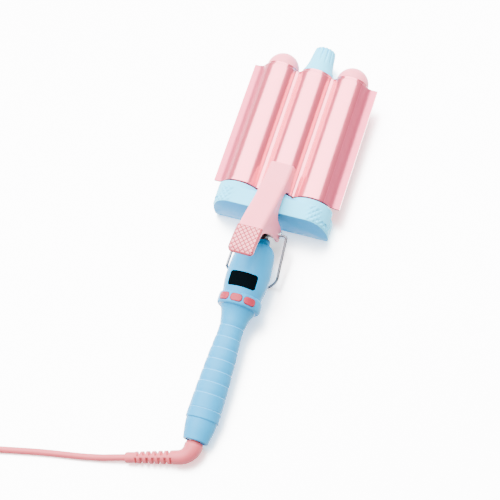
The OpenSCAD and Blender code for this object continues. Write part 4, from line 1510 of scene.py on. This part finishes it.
    def lozenges(self) -> list[list[Flat]]:
        """Outlines of the pad's lozenges, cut off straight where they meet its margin.

        Returns:
            Convex outlines, seen from above.
        """
        far_x, low_y, high_y = self.half_w - 0.9, self.pad_y[0] - 0.9, self.pad_y[1] - 0.7
        borders = ((1, 0, far_x), (-1, 0, far_x), (0, 1, high_y), (0, -1, -low_y))
        pitch_x, pitch_y = self.lozenge_pitch
        a, b = (pitch_x - self.groove_w) / 2, (pitch_y - self.groove_w) / 2
        found = []
        for row in range(-7, 8):
            for col in range(-4, 5):
                x = (col + 0.5 * (row % 2)) * pitch_x
                y = (low_y + high_y) / 2 + row * pitch_y / 2
                outline: list[Flat] = [(x + a, y), (x, y + b), (x - a, y), (x, y - b)]
                for border in borders:
                    outline = cut_straight(outline, *border)
                if len(outline) > 2:
                    found.append(outline)
        return found

    def pad(self) -> None:
        """The thumb pad: a coral bed that wraps the lever's tip, its dark coral partly real and
        partly painted shade in the grooves, with rows of lighter rose lozenges as painted highlight.
        """
        top = self.top_line

        def place(u: float, v: float, height: float) -> Point:
            """A point over the lever's top edge, level with it past both ends of the pad."""
            y = min(max(v, self.pad_y[0]), self.pad_y[1])
            return (u, GUARD_Y + v, float(read_off(top, y)) + height)

        bed = [(0.3, -3.0), (0.0, -2.7), (0.0, -0.1), (0.15, self.bed_rise - 0.07)]
        bed += [(inset, self.bed_rise) for inset in (0.45, 1.2, 2.2, 3.2, 4.6, 6.2, 7.8, 9.4, 10.8)]
        draft = Draft().patch(self.pad_line, bed, place)
        rise = self.lozenge_rise
        for outline in self.lozenges():
            corners = np.array(outline)
            middle = corners.mean(axis=0)
            rows = []
            for size, height in ((1, 0.1), (1, rise - 0.22), (0.88, rise), (0.4, rise)):
                line = middle + (corners - middle) * size
                rows.append([place(u, v, height) for u, v in line])
            # The lozenges take the lighter rose as painted highlight.
            draft.grid(rows, zone=1)
        piece = draft.build("thumb_pad_lattice", CORAL_SILICONE, LIT_LOZENGE_SILICONE)
        mount(piece, self.body, "coral_plastic", "thumb_pad")


@dataclass
class Wires:
    """The folding stand and the torsion spring on the hinge."""

    stand_d: float = 2.6
    spring_d: float = 1.2
    spring_r: float = 3.9
    spring_x: float = 5.95
    spring_pitch: float = 1.65
    spring_turn: Flat = (60.0, -885.0)

    def build(self) -> None:
        """Builds and dresses both wires."""
        stand = self.wire("stand_loop", self.stand_line(), self.stand_d, 16, 0.2, NICKELLED_WIRE)
        mount(stand, "stand", "chromed_steel", "stand_wire")
        path = self.spring_arm(-1)[::-1] + self.spring_arm(1)
        spring = self.wire("closing_spring", path, self.spring_d, 10, 0.3, SPRING_STEEL)
        mount(spring, "handle", "spring_steel", "torsion_spring")

    def wire(
        self, name: str, path: list[Point], diameter: float, sides: int, lean: float, finish: Finish
    ) -> bpy.types.Object:
        """Bends a wire round the hinge.

        Args:
            name: The piece's name.
            path: Its middle line, measured from the hinge's axis.
            diameter: Its diameter.
            sides: Points round it.
            lean: How far the first of them leans up from +Y.
            finish: Its finish.

        Returns:
            The piece.
        """
        line = [(x, HINGE_Y + y, HINGE_Z + z) for x, y, z in path]
        draft = Draft().sweep(line, lambda i, angle: diameter / 2, sides, first=(0, 1, lean))
        return draft.build(name, finish)

    def stand_line(self) -> list[Point]:
        """The nickelled loop that folds under the handle, from end to end."""
        half = smooth([
            (13.2, 0, 0), (18, 0, 0), (21.2, 0, 0), (22.6, -1.0, -0.3), (23, -2.4, -0.7),
            (24.1, -22, -5.2), (24.9, -37, -8.6), (24.9, -38.6, -9.9), (24.1, -39.4, -12.8),
            (22.2, -40.4, -17.4), (19.8, -41.9, -21.3), (16.6, -43.9, -24.2), (12.4, -45.6, -25),
            (6, -46.4, -25.1), (0, -46.6, -25.1),
        ], 6)
        return half + [(-x, y, z) for x, y, z in reversed(half[:-1])]

    def spring_arm(self, side: int) -> list[Point]:
        """One arm of the double spring that closes the clamp, from its bridge to its leg.

        Args:
            side: -1 for left, 1 for right.

        Returns:
            The middle line's points.
        """
        start, end = self.spring_turn
        coil = []
        for angle in np.linspace(start, end, 64):
            a = math.radians(angle)
            x = self.spring_x + self.spring_pitch * (start - angle) / 360
            coil.append((x, self.spring_r * math.cos(a), self.spring_r * math.sin(a)))
        bridge = [(3, -12, 12.4), (5.4, -11.2, 12), (self.spring_x, -8, 9.2)]
        leg = [(9.7, -5.6, 7), (7.9, -9, 22), (6.8, -11.4, 31)]
        return [(side * x, y, z) for x, y, z in bridge + coil + leg]


# ---- scene ---------------------------------------------------------------------------


@dataclass
class Studio:
    """Camera, floor and soft light."""

    eye: Point = (306.127, -444.067, 1265.922)
    right: Point = (0.94328448, 0.30611243, -0.12848958)
    up: Point = (-0.23841954, 0.89396351, 0.37945403)
    back: Point = (0.23102059, -0.32729867, 0.91624509)
    focal_px: float = 1451.08
    frame_px: int = 500
    sensor_mm: float = 36.0
    floor_half: float = 6.0
    key_at: Point = (-0.54, 0.72, 2.0)
    key_aim: Point = (0.0, 0.05, 0.02)
    key_size: Flat = (4.4, 3.0)
    key_power: float = 540.0
    room_glow: float = 0.14

    def build(self) -> None:
        """Builds the room round the tool."""
        self.floor()
        self.world()
        self.key_box()

    def camera(self) -> None:
        """Puts the camera where it sees the tool from above its right side."""
        data = bpy.data.cameras.new("camera")
        data.sensor_width = self.sensor_mm
        data.lens = self.sensor_mm * self.focal_px / self.frame_px
        data.clip_start, data.clip_end = 0.05, 20.0
        camera = bpy.data.objects.new("camera", data)
        turn = Matrix((self.right, self.up, self.back)).transposed().to_4x4()
        camera.matrix_world = Matrix.Translation([c * MM for c in self.eye]) @ turn
        bpy.context.scene.collection.objects.link(camera)
        bpy.context.scene.camera = camera

    def key_box(self) -> None:
        """One large soft box beyond the barrels, a little to their left."""
        data = bpy.data.lights.new("key_box", "AREA")
        data.shape = "RECTANGLE"
        data.size, data.size_y = self.key_size
        data.energy = self.key_power
        lamp = bpy.data.objects.new("key_box", data)
        aim = Vector(self.key_aim) - Vector(self.key_at)
        turn = aim.to_track_quat("-Z", "Y").to_matrix().to_4x4()
        lamp.matrix_world = Matrix.Translation(self.key_at) @ turn
        bpy.context.scene.collection.objects.link(lamp)

    def floor(self) -> None:
        """A satin silver sheet with a white glow of its own, so the table reads as pure white."""
        h = self.floor_half
        mesh = bpy.data.meshes.new("floor")
        mesh.from_pydata([(-h, -h, 0), (h, -h, 0), (h, h, 0), (-h, h, 0)], [], [(0, 1, 2, 3)])
        floor = bpy.data.objects.new("floor", mesh)
        material = bpy.data.materials.new("satin silver sheet")
        material.use_nodes = True
        sockets = material.node_tree.nodes["Principled BSDF"].inputs
        sockets["Base Color"].default_value = linear("#FFFFFF")
        sockets["Metallic"].default_value = 1.0
        sockets["Roughness"].default_value = 0.3
        sockets["Emission Color"].default_value = linear("#FFFFFF")
        sockets["Emission Strength"].default_value = 1.0
        mesh.materials.append(material)
        bpy.context.scene.collection.objects.link(floor)

    def world(self) -> None:
        """An even white room."""
        world = bpy.data.worlds.new("room")
        bpy.context.scene.world = world
        world.use_nodes = True
        tree = world.node_tree
        tree.nodes.clear()
        sky = add_node(tree, "Background", {"Color": linear("#FFFFFF"), "Strength": self.room_glow})
        add_node(tree, "OutputWorld", links={"Surface": sky.outputs[0]})


def dress_cad(frame: dict) -> None:
    """Gives every CAD node that stays its finish.
    """
    for finish, names in CAD_FINISHES.items():
        for name in names:
            mesh = frame["nodes"][name].data
            mesh.materials.clear()
            mesh.materials.append(finish.material())
            soften(mesh)
            log.info("%s: %s", name, finish.name)


def main() -> None:
    """Builds the whole picture."""
    logging.basicConfig(level=logging.INFO, format="%(name)s: %(message)s")
    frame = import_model()
    studio = Studio()
    studio.camera()
    Cord().build()
    dress_cad(frame)
    Handle().build()
    Barrels().build()
    Guard().build()
    Clamp().build()
    Wires().build()
    studio.build()


if __name__ == "__main__":
    main()
